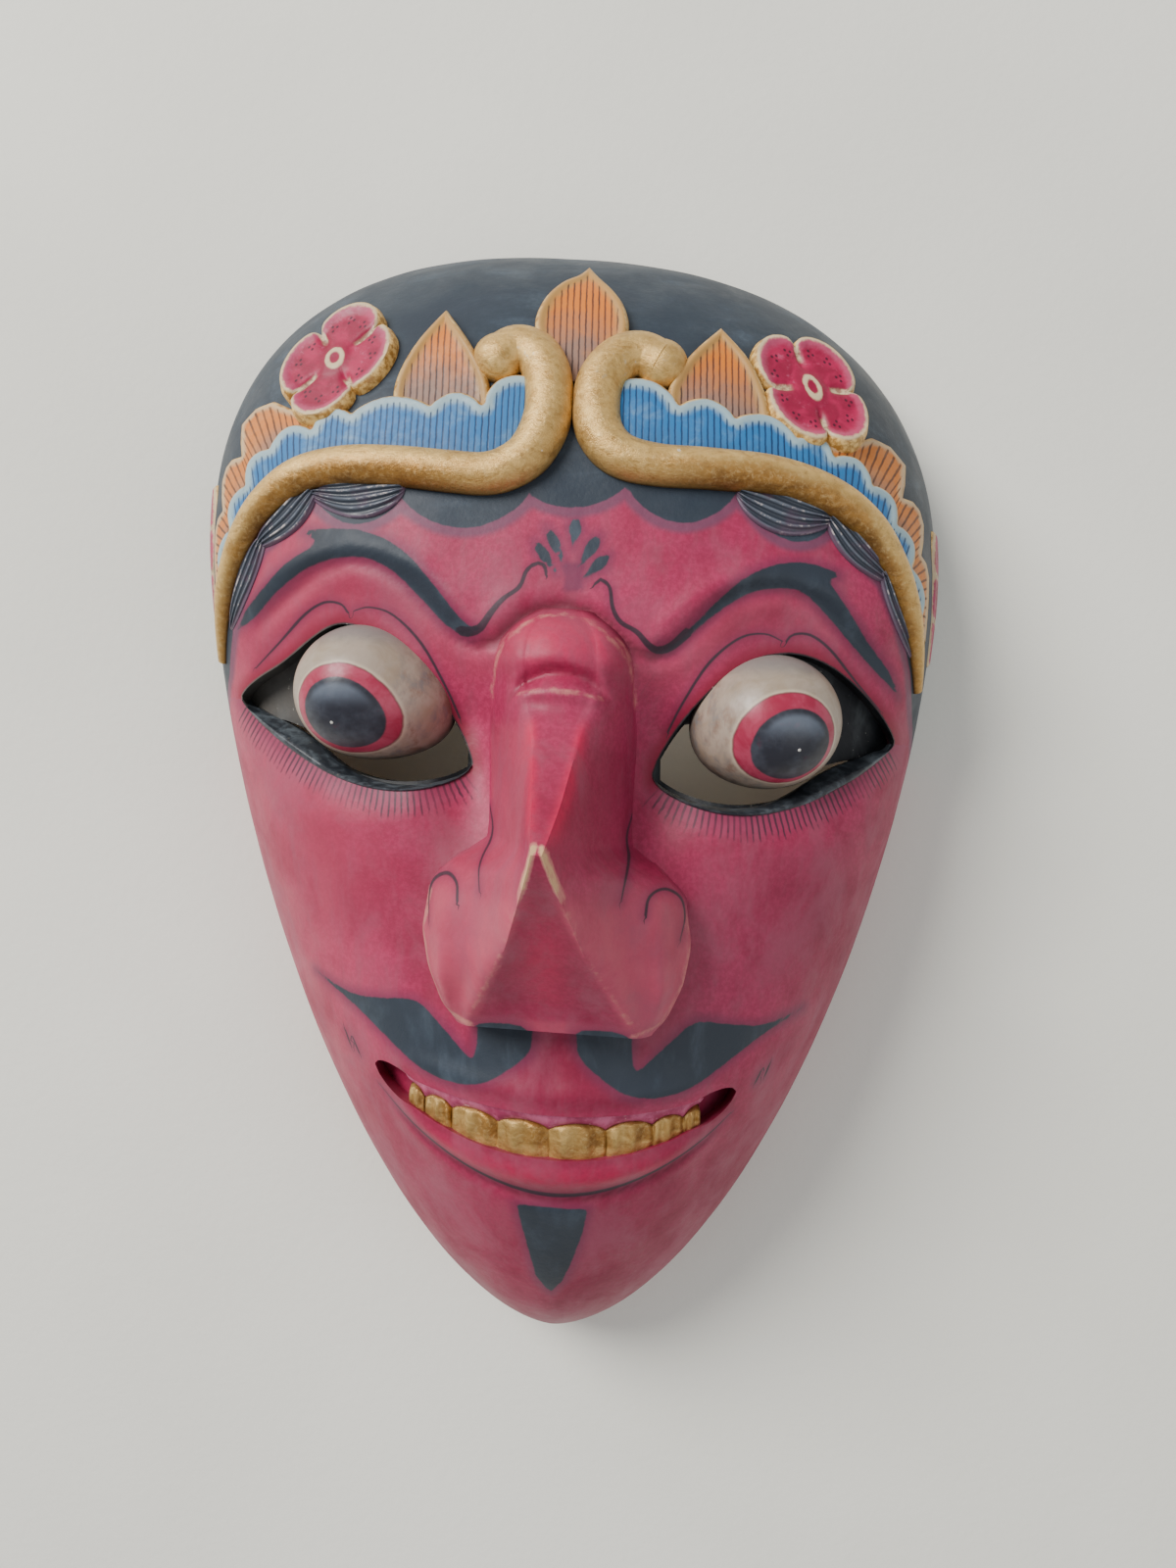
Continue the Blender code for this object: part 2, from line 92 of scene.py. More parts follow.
# Camera in steps over the middle of the face, straight down on the lying mask
CAMERA_PLACE = (11.0, -1.2, 236.0)
CAMERA_YAW = 1.65
CAMERA_ROLL = 1.4
CAMERA_LENS = 27.0

# Lights: place and target in metres, disc size, power in watts, colour
LIGHTS = {"window": ((-0.85, 0.75, 1.0), (0, 0, 0.03), 0.8, 32, (1.0, 0.985, 0.96)),
          "fill": ((0.9, -0.4, 1.1), (0, 0, 0.03), 1.2, 5, (0.96, 0.98, 1.0)),
          "behind": ((0.014, 0.052, 0.024), (0.02, -0.01, 0), 0.012, 0.006, (1.0, 0.97, 0.9))}
SURROUND_COLOUR = (0.94, 0.96, 1.0, 1)
SURROUND_STRENGTH = 0.45
FLOOR_HALF = 1.2


# Shapes of the face

def smooth_step(share):
    """Eases from 0 to 1."""
    share = np.clip(share, 0, 1)
    return share * share * (3 - 2 * share)


def soft_line(distance, width):
    """A soft ridge of height 1 along a line."""
    return np.exp(-(distance / width) ** 2)


def hill(x, y, centre, spread):
    """A soft round rise of height 1."""
    return np.exp(-((x - centre[0]) / spread[0]) ** 2 - ((y - centre[1]) / spread[1]) ** 2)


def rim_outline(count=600):
    """The back rim seen from the front: a broad brow and a long chin."""
    turn = np.linspace(0, math.pi, count)
    flat = 2 / 2.4
    top_x = HALF_WIDTH * np.sign(np.cos(turn)) * np.abs(np.cos(turn)) ** flat
    top_y = 40 + 60 * np.sin(turn) ** flat
    drop = 1 - np.linspace(1, 0, count) ** 2
    side_x = HALF_WIDTH * np.clip(1 - drop ** 1.52, 0, None) ** 0.58
    side_y = 40 - 146 * drop
    x = np.concatenate([top_x, -side_x[1:], side_x[-2:0:-1]])
    y = np.concatenate([top_y, side_y[1:], side_y[-2:0:-1]])
    return x, y


def rim_table():
    """Distance of the rim from the face's middle, by direction."""
    x, y = rim_outline()
    turn = np.arctan2(y, x)
    order = np.argsort(turn)
    turn = turn[order]
    turns = np.concatenate([turn - 2 * math.pi, turn, turn + 2 * math.pi])
    return turns, np.tile(np.hypot(x, y)[order], 3)


RIM_TURNS, RIM_REACH = rim_table()


def rim_reach(x, y):
    """Distance of the rim from the face's middle, towards a place."""
    return np.interp(np.arctan2(y, x), RIM_TURNS, RIM_REACH)


def eye_socket(side, y):
    """Depth share of the socket: round above, easing out below."""
    below = smooth_step((9 - y) / 8)
    across = (side - 34.5) / np.where(side > 34.5, 27, 24.5)
    shape = np.clip(1 - across ** 2 - ((y - 9) / (24.5 - 4.5 * below)) ** 2, 0, 1)
    return shape ** (1 + below)


def broad_face(x, y):
    """The face without its small carving: a full dome, a muzzle and two eye sockets."""
    share = np.clip(np.hypot(x, y) / rim_reach(x, y), 0, 1)
    inside = smooth_step((1 - share) / 0.3)
    side = np.abs(x)
    height = DOME * np.sqrt(1 - share ** 3)
    height = height + MUZZLE_RISE * hill(x, y, (0, -50), (30, 20)) * inside
    height = height - SOCKET_DEPTH * eye_socket(side, y) * inside
    height = height - NOSE_SIDE_DEPTH * hill(side, y, (14.5, 2), (7.5, 13))
    return height + LID_RISE * hill(side, y, (33, 14), (15, 13)) * inside


# The smiling mouth: each line's middle, the lift of its corners, and the power of its curve
MOUTH_HALF = 30
MOUTH_LINES = {"upper": (-53.2, 3.8, 2.2), "lower": (-60.5, 9.5, 2.3), "under": (-68.2, 14.5, 1.9)}
MOUTH_DEPTH = 3.4


def mouth_line(x, edge):
    """One line of the mouth: under the upper lip, on the lower lip, or below it."""
    middle, lift, power = MOUTH_LINES[edge]
    share = np.clip(np.abs(x) / MOUTH_HALF, 0, 1.1)
    return middle + lift * share ** power


CREASE = [(56.0, 18.5), (52.0, 22.4), (46.2, 26.6), (40.5, 30.6), (35.0, 32.3), (30.0, 31.6),
          (25.0, 28.9), (20.4, 24.2), (17.0, 20.9), (14.0, 19.7), (11.0, 20.4), (9.0, 22.3), (6.7, 24.6),
          (3.8, 26.0), (0.0, 26.7)]


def over_crease(side, y):
    """Distance above the cut line that runs under the brows and over the nose's root."""
    line = np.array(CREASE)[::-1]
    near, _ = from_line(side, y, line)
    return np.where(y > np.interp(side, line[:, 0], line[:, 1]), near, -near)


def face_height(x, y):
    """Height of the carved face over the rim, with its lips and small creases."""
    x = np.asarray(x, float)
    y = np.asarray(y, float)
    lip = LOWER_LIP_RISE * soft_line(y - mouth_line(x, "lower") + 3.2, 3.4)
    lip = lip - LIP_CREASE_DEPTH * soft_line(y - mouth_line(x, "under"), 1.5)
    lip = lip + UPPER_LIP_RISE * soft_line(y - mouth_line(x, "upper") - 3.4, 2.0)
    face = broad_face(x, y) + lip * smooth_step((31 - np.abs(x)) / 10)
    face = face - PHILTRUM_DEPTH * hill(x, y, (0, -44), (2.2, 6))
    above = over_crease(np.abs(x), y)
    cut = BROW_RISE * soft_line(above - 2.8, 2.4) - BROW_CUT_DEPTH * soft_line(above, 1.3)
    cut = cut + 0.7 * BROW_RISE * soft_line(above + 2.6, 1.6)
    face = face + cut * smooth_step((57 - np.abs(x)) / 8)
    hewn = np.sin(x * 0.31 + 1.3 * np.sin(y * 0.13)) * np.sin(y * 0.27 + 1.1 * np.sin(x * 0.17))
    return np.maximum(face + HEWN_DEPTH * hewn, 0)


NOSE_STATIONS = [-38.6, -36.5, -31, -25, -17.5, -13, -10.5, -8, -4, 4, 8, 11, 14.5, 17, 21, 24, 25.8]
NOSE_RISES = [0, 2, 7.5, 14, 21, 25.8, 28, 24, 16, 6, 3, 2, 0.4, 1.6, 0, -3, -7]
NOSE_TOPS = [12.4, 11.8, 8.8, 5.6, 3, 1.4, 0.7, 1.3, 2.0, 3.2, 3.9, 4.6, 5.2, 5.4, 5, 3.4, 2]
NOSE_SIDES = [14.6, 17, 19.6, 20.7, 19.6, 15, 11.7, 11.5, 11.6, 12, 12, 11.6, 11.2, 11.2, 10.2, 7.4, 4]
NOSE_CURVES = [1.8, 1.8, 1.6, 1.1, 0.7, 0.7, 0.75, 0.8, 0.9, 1.05, 1.3, 1.7, 2.0, 2.2, 2.2, 2.2, 2.2]


def softened(y, values, window):
    """A table along the nose, with its corners worn round."""
    offsets = np.linspace(-window, window, 7)
    return np.mean([np.interp(y + offset, NOSE_STATIONS, values) for offset in offsets], 0)


def root_fold(x):
    """The arched fold across the nose's root."""
    return 15.4 - 0.07 * x * x


def root_lip(x):
    """The raised lip just below that fold."""
    return 12.4 - 0.02 * x * x


def root_creases(x, y):
    """The fold and the lip at the nose's root, added to its height."""
    fold = soft_line(y - root_fold(x), 1.25) * smooth_step((8.5 - x) / 2.5)
    lip = soft_line(y - root_lip(x), 1.25) * smooth_step((8.0 - x) / 3)
    under = soft_line(y - 9.6, 1.6) * smooth_step((7 - x) / 4)
    return 0.9 * lip - 1.3 * fold - 0.5 * under


def wing_swell(share, y):
    """The wings' round swelling, the dip inside it and the turned-in edge, added to the height."""
    lobe = smooth_step((-13.5 - y) / 7) * smooth_step((y + 39.5) / 9)
    swell = 2.3 * soft_line(share - 0.74, 0.17)
    dip = soft_line(share - 0.33, 0.16)
    return lobe * (swell - dip - 1.4 * smooth_step((share - 0.86) / 0.14))


def nose_places():
    """Places and heights of the nose: a blade with a facet below, wings, and a bump at its root."""
    y = np.concatenate([np.linspace(-38.6, -10.5, 64), np.linspace(-10.5, 25.8, 72)[1:]])
    window = np.clip(np.abs(y + 10.5) / 3, 0.1, 1.2)
    ridge = ROOT_HEIGHT + softened(y, NOSE_RISES, window)
    top = softened(y, NOSE_TOPS, window)
    side = softened(y, NOSE_SIDES, window)
    curve = softened(y, NOSE_CURVES, window)
    part = np.concatenate([[1.04, 1.0], np.linspace(0.97, 0.0, 33)])
    outer = top[:, None] + (side - top)[:, None] * part
    inner = top[:, None] * np.linspace(0.88, 0, 8)
    root = smooth_step((y - 6) / 8)[:, None]
    dome = 0.16 * root
    fall = np.concatenate([dome + (1 - dome) * part[None, :] ** curve[:, None],
                           dome * (inner / top[:, None]) ** 2], 1)
    x = np.concatenate([outer, inner], 1)
    y = y[:, None] + 0 * x
    face = face_height(x, y)
    wing = smooth_step((-11 - y) / 4)
    foot = face + wing * np.clip(WING_FLOOR - face, 0, None)
    height = ridge[:, None] - (ridge[:, None] - foot) * np.clip(fall, 0, None)
    height = height + wing_swell(np.concatenate([part, np.zeros(8)])[None, :], y)
    height[:, 0] = face[:, 0] - 1.2
    height[:, 1] = np.where(wing[:, 1] > 0.5, height[:, 1], face[:, 1] - 0.3)
    dish = smooth_step((-12 - y[:, 0]) / 10) * smooth_step((y[:, 0] + 38.5) / 5)
    flat = len(part)
    height[:, flat:] -= (1.3 * dish)[:, None] * (1 - (x[:, flat:] / top[:, None]) ** 2)
    height = np.minimum(height + root_creases(x, y), NOSE_TIP)
    x = np.concatenate([-x, x[:, -2::-1]], 1)
    y = np.concatenate([y, y[:, -2::-1]], 1)
    return x, y, np.concatenate([height, height[:, -2::-1]], 1)


def rim_middle():
    """Middle of the slanted rim's box, which stands on the middle of the frame's."""
    x, y = rim_outline()
    y = y - SLANT * x
    return (x.min() + x.max()) / 2, (y.min() + y.max()) / 2


MIDDLE_X, MIDDLE_Y = rim_middle()
BOX_MIDDLE = (BOX_LOW + BOX_HIGH) / 2


def to_metres(x, y, height, extra=0.0):
    """Steps to metres, with the slant and lean of the hand carving."""
    x, y, height = np.broadcast_arrays(x, y, height)
    low = np.minimum(height, ROOT_LEVEL)
    high = np.maximum(height - ROOT_LEVEL, 0)
    place_x = (x + LEAN * low + NOSE_LEAN * high - MIDDLE_X) * STEP + BOX_MIDDLE.x
    place_y = (y - SLANT * x - MIDDLE_Y) * STEP + BOX_MIDDLE.y
    return np.stack([place_x, place_y, (height + extra) * STEP], -1)


def to_steps(places):
    """Metres back to steps: x, y and height."""
    height = places[:, 2] / STEP
    low = np.minimum(height, ROOT_LEVEL)
    high = np.maximum(height - ROOT_LEVEL, 0)
    x = (places[:, 0] - BOX_MIDDLE.x) / STEP + MIDDLE_X - LEAN * low - NOSE_LEAN * high
    y = (places[:, 1] - BOX_MIDDLE.y) / STEP + MIDDLE_Y + SLANT * x
    return x, y, height


def on_disc(columns, rows):
    """Even places over the face: a square grid pressed into the rim's outline."""
    share_u = np.linspace(-1, 1, columns + 1)
    share_v = np.linspace(-1, 1, rows + 1)
    u, v = np.meshgrid(np.sign(share_u) * (0.78 * np.abs(share_u) + 0.22 * share_u ** 2), share_v)
    disc_x = u * np.sqrt(1 - v * v / 2)
    disc_y = v * np.sqrt(1 - u * u / 2)
    walk = np.linspace(0, 1, 800)
    steps = np.hypot(np.diff(walk) * 80, np.diff(DOME * np.sqrt(1 - walk ** 3)))
    length = np.concatenate([[0], np.cumsum(steps)])
    share = np.interp(np.hypot(disc_x, disc_y), length / length[-1], walk)
    turn = np.arctan2(disc_y, disc_x)
    reach = np.interp(turn, RIM_TURNS, RIM_REACH) * share
    return np.cos(turn) * reach, np.sin(turn) * reach


# Meshes

def lattice(columns, rows, places):
    """An open sheet of quads whose points stand at the given places."""
    mesh = bmesh.new()
    bmesh.ops.create_grid(mesh, x_segments=columns, y_segments=rows, size=1)
    rank = mesh.verts.layers.int.new("rank")
    for number, vertex in enumerate(sorted(mesh.verts, key=lambda v: (round(v.co.y, 5), v.co.x))):
        vertex[rank] = number
        vertex.co = places[number]
    return mesh


def finish_mesh(mesh, name, sharp=40):
    """Turns a bmesh into a named object, smooth but for its crisp edges."""
    bmesh.ops.recalc_face_normals(mesh, faces=mesh.faces)
    data = bpy.data.meshes.new(name)
    mesh.to_mesh(data)
    mesh.free()
    data.shade_smooth()
    data.set_sharp_from_angle(angle=math.radians(sharp))
    made = bpy.data.objects.new(name, data)
    bpy.context.scene.collection.objects.link(made)
    return made


def slab(name, top, foot, sharp=40):
    """A closed solid between two sheets of points with the same rows and columns."""
    rows, columns = top.shape[:2]
    mesh = lattice(columns - 1, rows - 1, top.reshape(-1, 3))
    foot = foot.reshape(-1, 3)
    rank = mesh.verts.layers.int["rank"]
    made = bmesh.ops.extrude_face_region(mesh, geom=mesh.faces[:])
    for item in made["geom"]:
        if isinstance(item, bmesh.types.BMVert):
            item.co = foot[item[rank]]
    return finish_mesh(mesh, name, sharp)


def relief(name, x, y, rise, sink=SINK, base=face_height, sharp=40):
    """A slab that follows the face, proud of it by rise, with its foot sunk below it."""
    level = base(x, y)
    return slab(name, to_metres(x, y, level, rise), to_metres(x, y, level, -sink), sharp)


def between(first, second, count):
    """Rows of points from one outline to another."""
    first = np.array(first, float)
    second = np.array(second, float)
    share = np.linspace(0, 1, count)[:, None, None]
    rows = first + (second - first) * share
    return rows[..., 0], rows[..., 1]


def smooth_path(places, steps):
    """Points along a smooth curve through given places."""
    places = np.array(places, float)
    padded = np.concatenate([[2 * places[0] - places[1]], places, [2 * places[-1] - places[-2]]])
    path = []
    for number in range(1, len(padded) - 2):
        before, first, second, after = padded[number - 1:number + 3]
        for share in np.arange(steps) / steps:
            bend = (2 * before - 5 * first + 4 * second - after) * share ** 2
            twist = (3 * first - before - 3 * second + after) * share ** 3
            path.append(first + 0.5 * ((second - before) * share + bend + twist))
    path.append(places[-1])
    return np.array(path)


def smooth_loop(places):
    """A closed outline through given places, its first place a corner."""
    return smooth_path(places + places[:1], 3)[:-1]


def walked(path, count):
    """The same path with evenly spaced points."""
    steps = np.hypot(*np.diff(path, axis=0).T)
    length = np.concatenate([[0], np.cumsum(steps)])
    share = np.linspace(0, length[-1], count)
    return np.stack([np.interp(share, length, path[:, 0]), np.interp(share, length, path[:, 1])], -1)


def scalloped(cusps, bulge, points=14):
    """An edge of arcs from cusp to cusp, bulging to the left of the way."""
    cusps = np.array(cusps, float)
    edge = []
    for start, end in zip(cusps[:-1], cusps[1:]):
        way = end - start
        across = np.array([-way[1], way[0]]) / np.hypot(*way)
        for share in np.arange(points) / points:
            edge.append(start + way * share + across * bulge * math.sin(math.pi * share) ** 0.8)
    edge.append(cusps[-1])
    return np.array(edge)


def from_line(x, y, path, closed=False):
    """Distance from a drawn line, and how far along it the nearest point lies."""
    path = np.array(path, float)
    ends = np.roll(path, -1, 0) if closed else path[1:]
    starts = path if closed else path[:-1]
    near = np.full(x.shape, 1e9)
    along = np.zeros(x.shape)
    walk = 0.0
    for start, end in zip(starts, ends):
        way = end - start
        length = max(np.hypot(*way), 1e-9)
        share = np.clip(((x - start[0]) * way[0] + (y - start[1]) * way[1]) / length ** 2, 0, 1)
        far = np.hypot(x - start[0] - share * way[0], y - start[1] - share * way[1])
        along = np.where(far < near, walk + share * length, along)
        near = np.minimum(near, far)
        walk += length
    return near, along


def inside_of(x, y, path):
    """Whether each place lies in a closed outline."""
    path = np.array(path, float)
    inside = np.zeros(x.shape, bool)
    for start, end in zip(path, np.roll(path, -1, 0)):
        crosses = (start[1] > y) != (end[1] > y)
        rise = end[1] - start[1] if end[1] != start[1] else 1e-9
        inside ^= crosses & (x < start[0] + (y - start[1]) * (end[0] - start[0]) / rise)
    return inside


def from_shape(x, y, path):
    """Signed distance from a closed outline, negative inside."""
    near, _ = from_line(x, y, path, closed=True)
    return np.where(inside_of(x, y, path), -near, near)


def across_line(x, y, path):
    """Distance from a drawn line, signed by its side, and the share of the way along it."""
    path = np.array(path, float)
    steps = np.hypot(*np.diff(path, axis=0).T)
    near = np.full(x.shape, 1e9)
    signed = near.copy()
    share = np.zeros(x.shape)
    walk = 0.0
    for start, end, length in zip(path[:-1], path[1:], np.maximum(steps, 1e-9)):
        way = (end - start) / length
        along = np.clip((x - start[0]) * way[0] + (y - start[1]) * way[1], 0, length)
        far = np.hypot(x - start[0] - along * way[0], y - start[1] - along * way[1])
        side = (x - start[0]) * way[1] - (y - start[1]) * way[0]
        closer = far < near
        signed = np.where(closer, np.where(side < 0, -far, far), signed)
        share = np.where(closer, (walk + along) / steps.sum(), share)
        near = np.minimum(near, far)
        walk += length
    return near, signed, share


def drawn_lines(x, y, lines):
    """For the nearest drawn line: signed distance, distance, and the line's half width there."""
    near = np.full(x.shape, 1e9)
    signed = near.copy()
    width = np.zeros(x.shape)
    for path, widths in lines:
        path = np.array(path, float)
        by_line = across_line(x, y, smooth_path(path, 4))
        closer = by_line[0] < near
        signed = np.where(closer, by_line[1], signed)
        width = np.where(closer, np.interp(by_line[2], [0, 0.5, 1], widths), width)
        near = np.minimum(near, by_line[0])
    return signed, np.minimum(near, 50), width


def store(piece, name, *fields):
    """Keeps three numbers for each point of a piece, for its paint to read."""
    layer = piece.data.attributes.new(name, "FLOAT_VECTOR", "POINT")
    layer.data.foreach_set("vector", np.stack(fields, -1).astype(np.float32).ravel())


def points_of(piece):
    """Places of a piece's points."""
    places = np.zeros(len(piece.data.vertices) * 3, np.float32)
    piece.data.vertices.foreach_get("co", places)
    return places.reshape(-1, 3).astype(float)


def store_sheet(piece, name, *fields):
    """Keeps numbers given for each place of the sheet that the piece was made from."""
    ranks = np.zeros(len(piece.data.vertices), np.int32)
    piece.data.attributes["rank"].data.foreach_get("value", ranks)
    store(piece, name, *((field + 0 * fields[0]).ravel()[ranks] for field in fields))


# Finishes

class Finish:
    """A material and short ways to add its nodes."""

    def __init__(self, name, roughness=0.5, metallic=0.0, shine=0.5):
        self.material = bpy.data.materials.new(name)
        self.material.use_nodes = True
        self.tree = self.material.node_tree
        self.shader = self.tree.nodes["Principled BSDF"]
        self.shader.inputs["Roughness"].default_value = roughness
        self.shader.inputs["Metallic"].default_value = metallic
        self.shader.inputs["Specular IOR Level"].default_value = shine

    def put(self, socket, value):
        """Links a node's output to an input, or sets it to a number or a colour."""
        if isinstance(value, bpy.types.NodeSocket):
            self.tree.links.new(value, socket)
        elif isinstance(value, tuple) and len(value) == 3 and socket.type == "RGBA":
            socket.default_value = (*value, 1)
        else:
            socket.default_value = value

    def math(self, operation, first, second=0.0):
        """One step of arithmetic on two numbers or outputs."""
        node = self.tree.nodes.new("ShaderNodeMath")
        node.operation = operation
        self.put(node.inputs[0], first)
        self.put(node.inputs[1], second)
        return node.outputs[0]

    def plus(self, first, second):
        return self.math("ADD", first, second)

    def less(self, first, second):
        return self.math("SUBTRACT", first, second)

    def times(self, first, second):
        return self.math("MULTIPLY", first, second)

    def band(self, value, start, end, low=0.0, high=1.0):
        """Goes smoothly from low to high as the value goes from start to end."""
        node = self.tree.nodes.new("ShaderNodeMapRange")
        node.interpolation_type = "SMOOTHSTEP"
        for number, item in enumerate((value, start, end, low, high)):
            self.put(node.inputs[number], item)
        return node.outputs[0]

    def mix(self, share, first, second):
        """The first colour, with a share of the second laid over it."""
        node = self.tree.nodes.new("ShaderNodeMix")
        node.data_type = "RGBA"
        self.put(node.inputs["Factor"], share)
        self.put(node.inputs[6], first)
        self.put(node.inputs[7], second)
        return node.outputs[2]

    def place(self, stretch=(1, 1, 1), turn=(0, 0, 0)):
        """Object coordinates in steps, stretched or turned."""
        source = self.tree.nodes.new("ShaderNodeTexCoord")
        node = self.tree.nodes.new("ShaderNodeMapping")
        node.inputs["Scale"].default_value = [1000 * share for share in stretch]
        node.inputs["Rotation"].default_value = turn
        self.tree.links.new(source.outputs["Object"], node.inputs["Vector"])
        return node.outputs["Vector"]

    def centred(self, value, strength):
        """A noise value moved to swing about zero."""
        return self.times(self.less(value, 0.5), strength)

    def noise(self, size, detail=4.0, rough=0.55, stretch=(1, 1, 1), turn=(0, 0, 0), warp=0.0):
        """Cloudy noise whose blots are about size steps wide."""
        node = self.tree.nodes.new("ShaderNodeTexNoise")
        node.inputs["Scale"].default_value = 1 / size
        node.inputs["Detail"].default_value = detail
        node.inputs["Roughness"].default_value = rough
        node.inputs["Distortion"].default_value = warp
        self.tree.links.new(self.place(stretch, turn), node.inputs["Vector"])
        return node.outputs["Fac"]

    def kept_three(self, name):
        """Three numbers kept on the piece."""
        node = self.tree.nodes.new("ShaderNodeAttribute")
        node.attribute_name = name
        split = self.tree.nodes.new("ShaderNodeSeparateXYZ")
        self.tree.links.new(node.outputs["Vector"], split.inputs[0])
        return split.outputs[0], split.outputs[1], split.outputs[2]

    def bump(self, height, strength, depth):
        node = self.tree.nodes.new("ShaderNodeBump")
        node.inputs["Strength"].default_value = strength
        node.inputs["Distance"].default_value = depth * STEP
        self.put(node.inputs["Height"], height)
        self.tree.links.new(node.outputs[0], self.shader.inputs["Normal"])

    def colour(self, value):
        self.put(self.shader.inputs["Base Color"], value)

    def roughness(self, value):
        self.put(self.shader.inputs["Roughness"], value)


def tone(red, green, blue):
    """A colour as the eye reads it, 0 to 255, made linear."""
    return tuple((part / 255 / 12.92) if part < 10.3 else ((part / 255 + 0.055) / 1.055) ** 2.4
                 for part in (red, green, blue))


# Colours of the paints
ROSE_LIGHT = tone(178, 52, 92)
ROSE = tone(156, 32, 72)
ROSE_DEEP = tone(116, 13, 46)
ROSE_GREY = tone(150, 74, 94)
SALMON = tone(184, 76, 96)
# Pink of the painted highlights and strokes
HIGHLIGHT_PINK = tone(198, 17, 72)
# Crimson of the painted shade in the creases
CRIMSON_CREASE_SHADE = tone(84, 12, 32)
MAUVE = tone(106, 40, 70)
SLATE = tone(42, 50, 60)
SLATE_LIGHT = tone(74, 86, 98)
SLATE_DARK = tone(26, 30, 36)
HEAD = tone(45, 56, 67)
HEAD_LIGHT = tone(70, 84, 98)
WORN_WOOD = tone(204, 166, 122)
WORN_PINK = tone(196, 126, 116)
GOLD = tone(166, 120, 56)
GOLD_LIGHT = tone(236, 196, 120)
GOLD_DARK = tone(96, 64, 30)
CREAM = tone(206, 184, 146)
BLUE = tone(38, 110, 168)
BLUE_LIGHT = tone(158, 182, 186)
BLUE_DARK = tone(18, 44, 80)
ORANGE = tone(214, 118, 34)
ORANGE_GREY = tone(142, 112, 98)
PETAL = tone(170, 24, 72)
PETAL_DEEP = tone(138, 14, 54)
PETAL_LIGHT = tone(190, 92, 122)
EYE_CREAM = tone(162, 147, 132)
EYE_BROWN = tone(128, 100, 82)
EYE_GREY = tone(120, 118, 116)
RAW_WOOD = tone(166, 130, 88)
RAW_WOOD_DARK = tone(118, 86, 54)

# Rose coat, its glazes, and the painted shade round the eyes
ROSE_BRIGHT = tone(182, 58, 100)
# Painted shade round the eye openings
LID_SHADE = tone(128, 12, 44)
HAIR_GLAZE = tone(96, 50, 74)
HAIR_GLAZE_LIGHT = tone(116, 68, 92)
LASH_SHADOW = tone(142, 66, 98)
LASH_INK = tone(54, 34, 48)
LINE_INK = tone(60, 42, 56)

# Head and eye recess
HEAD_DARK = tone(34, 42, 52)
HEAD_CLOUD = tone(36, 46, 58)
SOCKET = tone(20, 22, 26)
SOCKET_LIGHT = tone(66, 70, 72)
SOCKET_CHIP = tone(134, 132, 124)
SOCKET_RUBBED = tone(128, 122, 114)
RAW_WOOD_STAIN = tone(110, 82, 56)

# Bronze paint, with its painted glint and shade
GOLD_BROWN = tone(136, 96, 44)
# Pale grain specks, partly a painted glint
GOLD_SPECK_GLINT = tone(236, 204, 142)
GOLD_SHADE = tone(70, 44, 22)
# Painted shade in the mouth, on the teeth
GOLD_RECESS_SHADE = tone(92, 64, 26)
GOLD_THINNED = tone(208, 196, 172)
GOLD_CHIP = tone(226, 214, 196)
GILT_RIM = tone(216, 182, 120)
GILT_RIM_SHADE = tone(88, 58, 32)

# Petals
PETAL_DOT = tone(56, 14, 34)
PETAL_GAP = tone(150, 112, 92)

# Eyes and lids, with painted shade and a painted reflection
EYE_CREAM_DARK = tone(150, 132, 112)
# Painted shade on the eyeball's sides
EYE_UNDERSIDE_SHADE = tone(70, 66, 64)
EYE_CREAM_RING = tone(216, 198, 172)
IRIS_LIGHT = tone(172, 66, 90)
IRIS = tone(150, 34, 62)
IRIS_EDGE = tone(96, 24, 44)
PUPIL = tone(38, 39, 48)
PUPIL_LIGHT = tone(66, 70, 80)
PUPIL_ROSE = tone(78, 34, 52)
# Painted reflection on the pupil
PUPIL_SKY_REFLECTION = tone(130, 142, 158)
LID_BLACK = tone(38, 42, 48)
LID_GREY = tone(88, 96, 102)
LID_RUBBED = tone(130, 128, 116)

# Gum and locks
GUM_LIGHT = tone(196, 92, 128)
GUM = tone(156, 44, 84)
GUM_CHIP = tone(222, 186, 180)
LOCK = tone(44, 50, 60)
# Painted highlight on the combed crests
LOCK_RIDGE_HIGHLIGHT = tone(92, 99, 110)
LOCK_ROSE = tone(84, 56, 76)
LOCK_RUBBED = tone(196, 186, 182)
LOCK_EDGE = tone(112, 86, 106)

# Floor and eye dots
FLOOR_LIGHT = tone(240, 238, 227)
FLOOR = tone(232, 230, 219)
CHALK = tone(206, 204, 196)
CHALK_GREY = tone(170, 168, 162)

# Leaves and borders
LEAF_RIM = tone(178, 138, 78)
LEAF_LINE = tone(58, 40, 40)
BLUE_FOOT = tone(46, 100, 150)
TEMPLE_ORANGE = tone(204, 118, 44)
TEMPLE_FOOT = tone(150, 112, 92)
TEMPLE_RIM = tone(198, 170, 130)
TEMPLE_LINE = tone(76, 46, 30)

# Shine of dry old paint, under the usual half
DRY_SHINE = 0.36


def lash_share(made, along, out):
    """Where the painted lash strokes lie below the eyes."""
    wobble = made.times(made.noise(6, 2), 3.4)
    wave = made.math("SINE", made.plus(made.times(along, 6.6), wobble))
    length = made.plus(3.3, made.times(made.noise(1.1, 1), 3.4))
    reach = made.times(made.band(out, 0.0, 0.4), made.band(made.less(length, out), 0, 1.8))
    reach = made.times(reach, made.band(along, 1.2, 2.6))
    reach = made.times(reach, made.band(made.noise(8, 3), 0.36, 0.6, 0.5, 1.0))
    reach = made.times(reach, made.band(along, LID_LENGTH - 0.5, LID_LENGTH - 1.6))
    thin = made.times(out, 0.1)
    return made.times(made.band(made.less(wave, thin), -0.1, 0.6), reach)


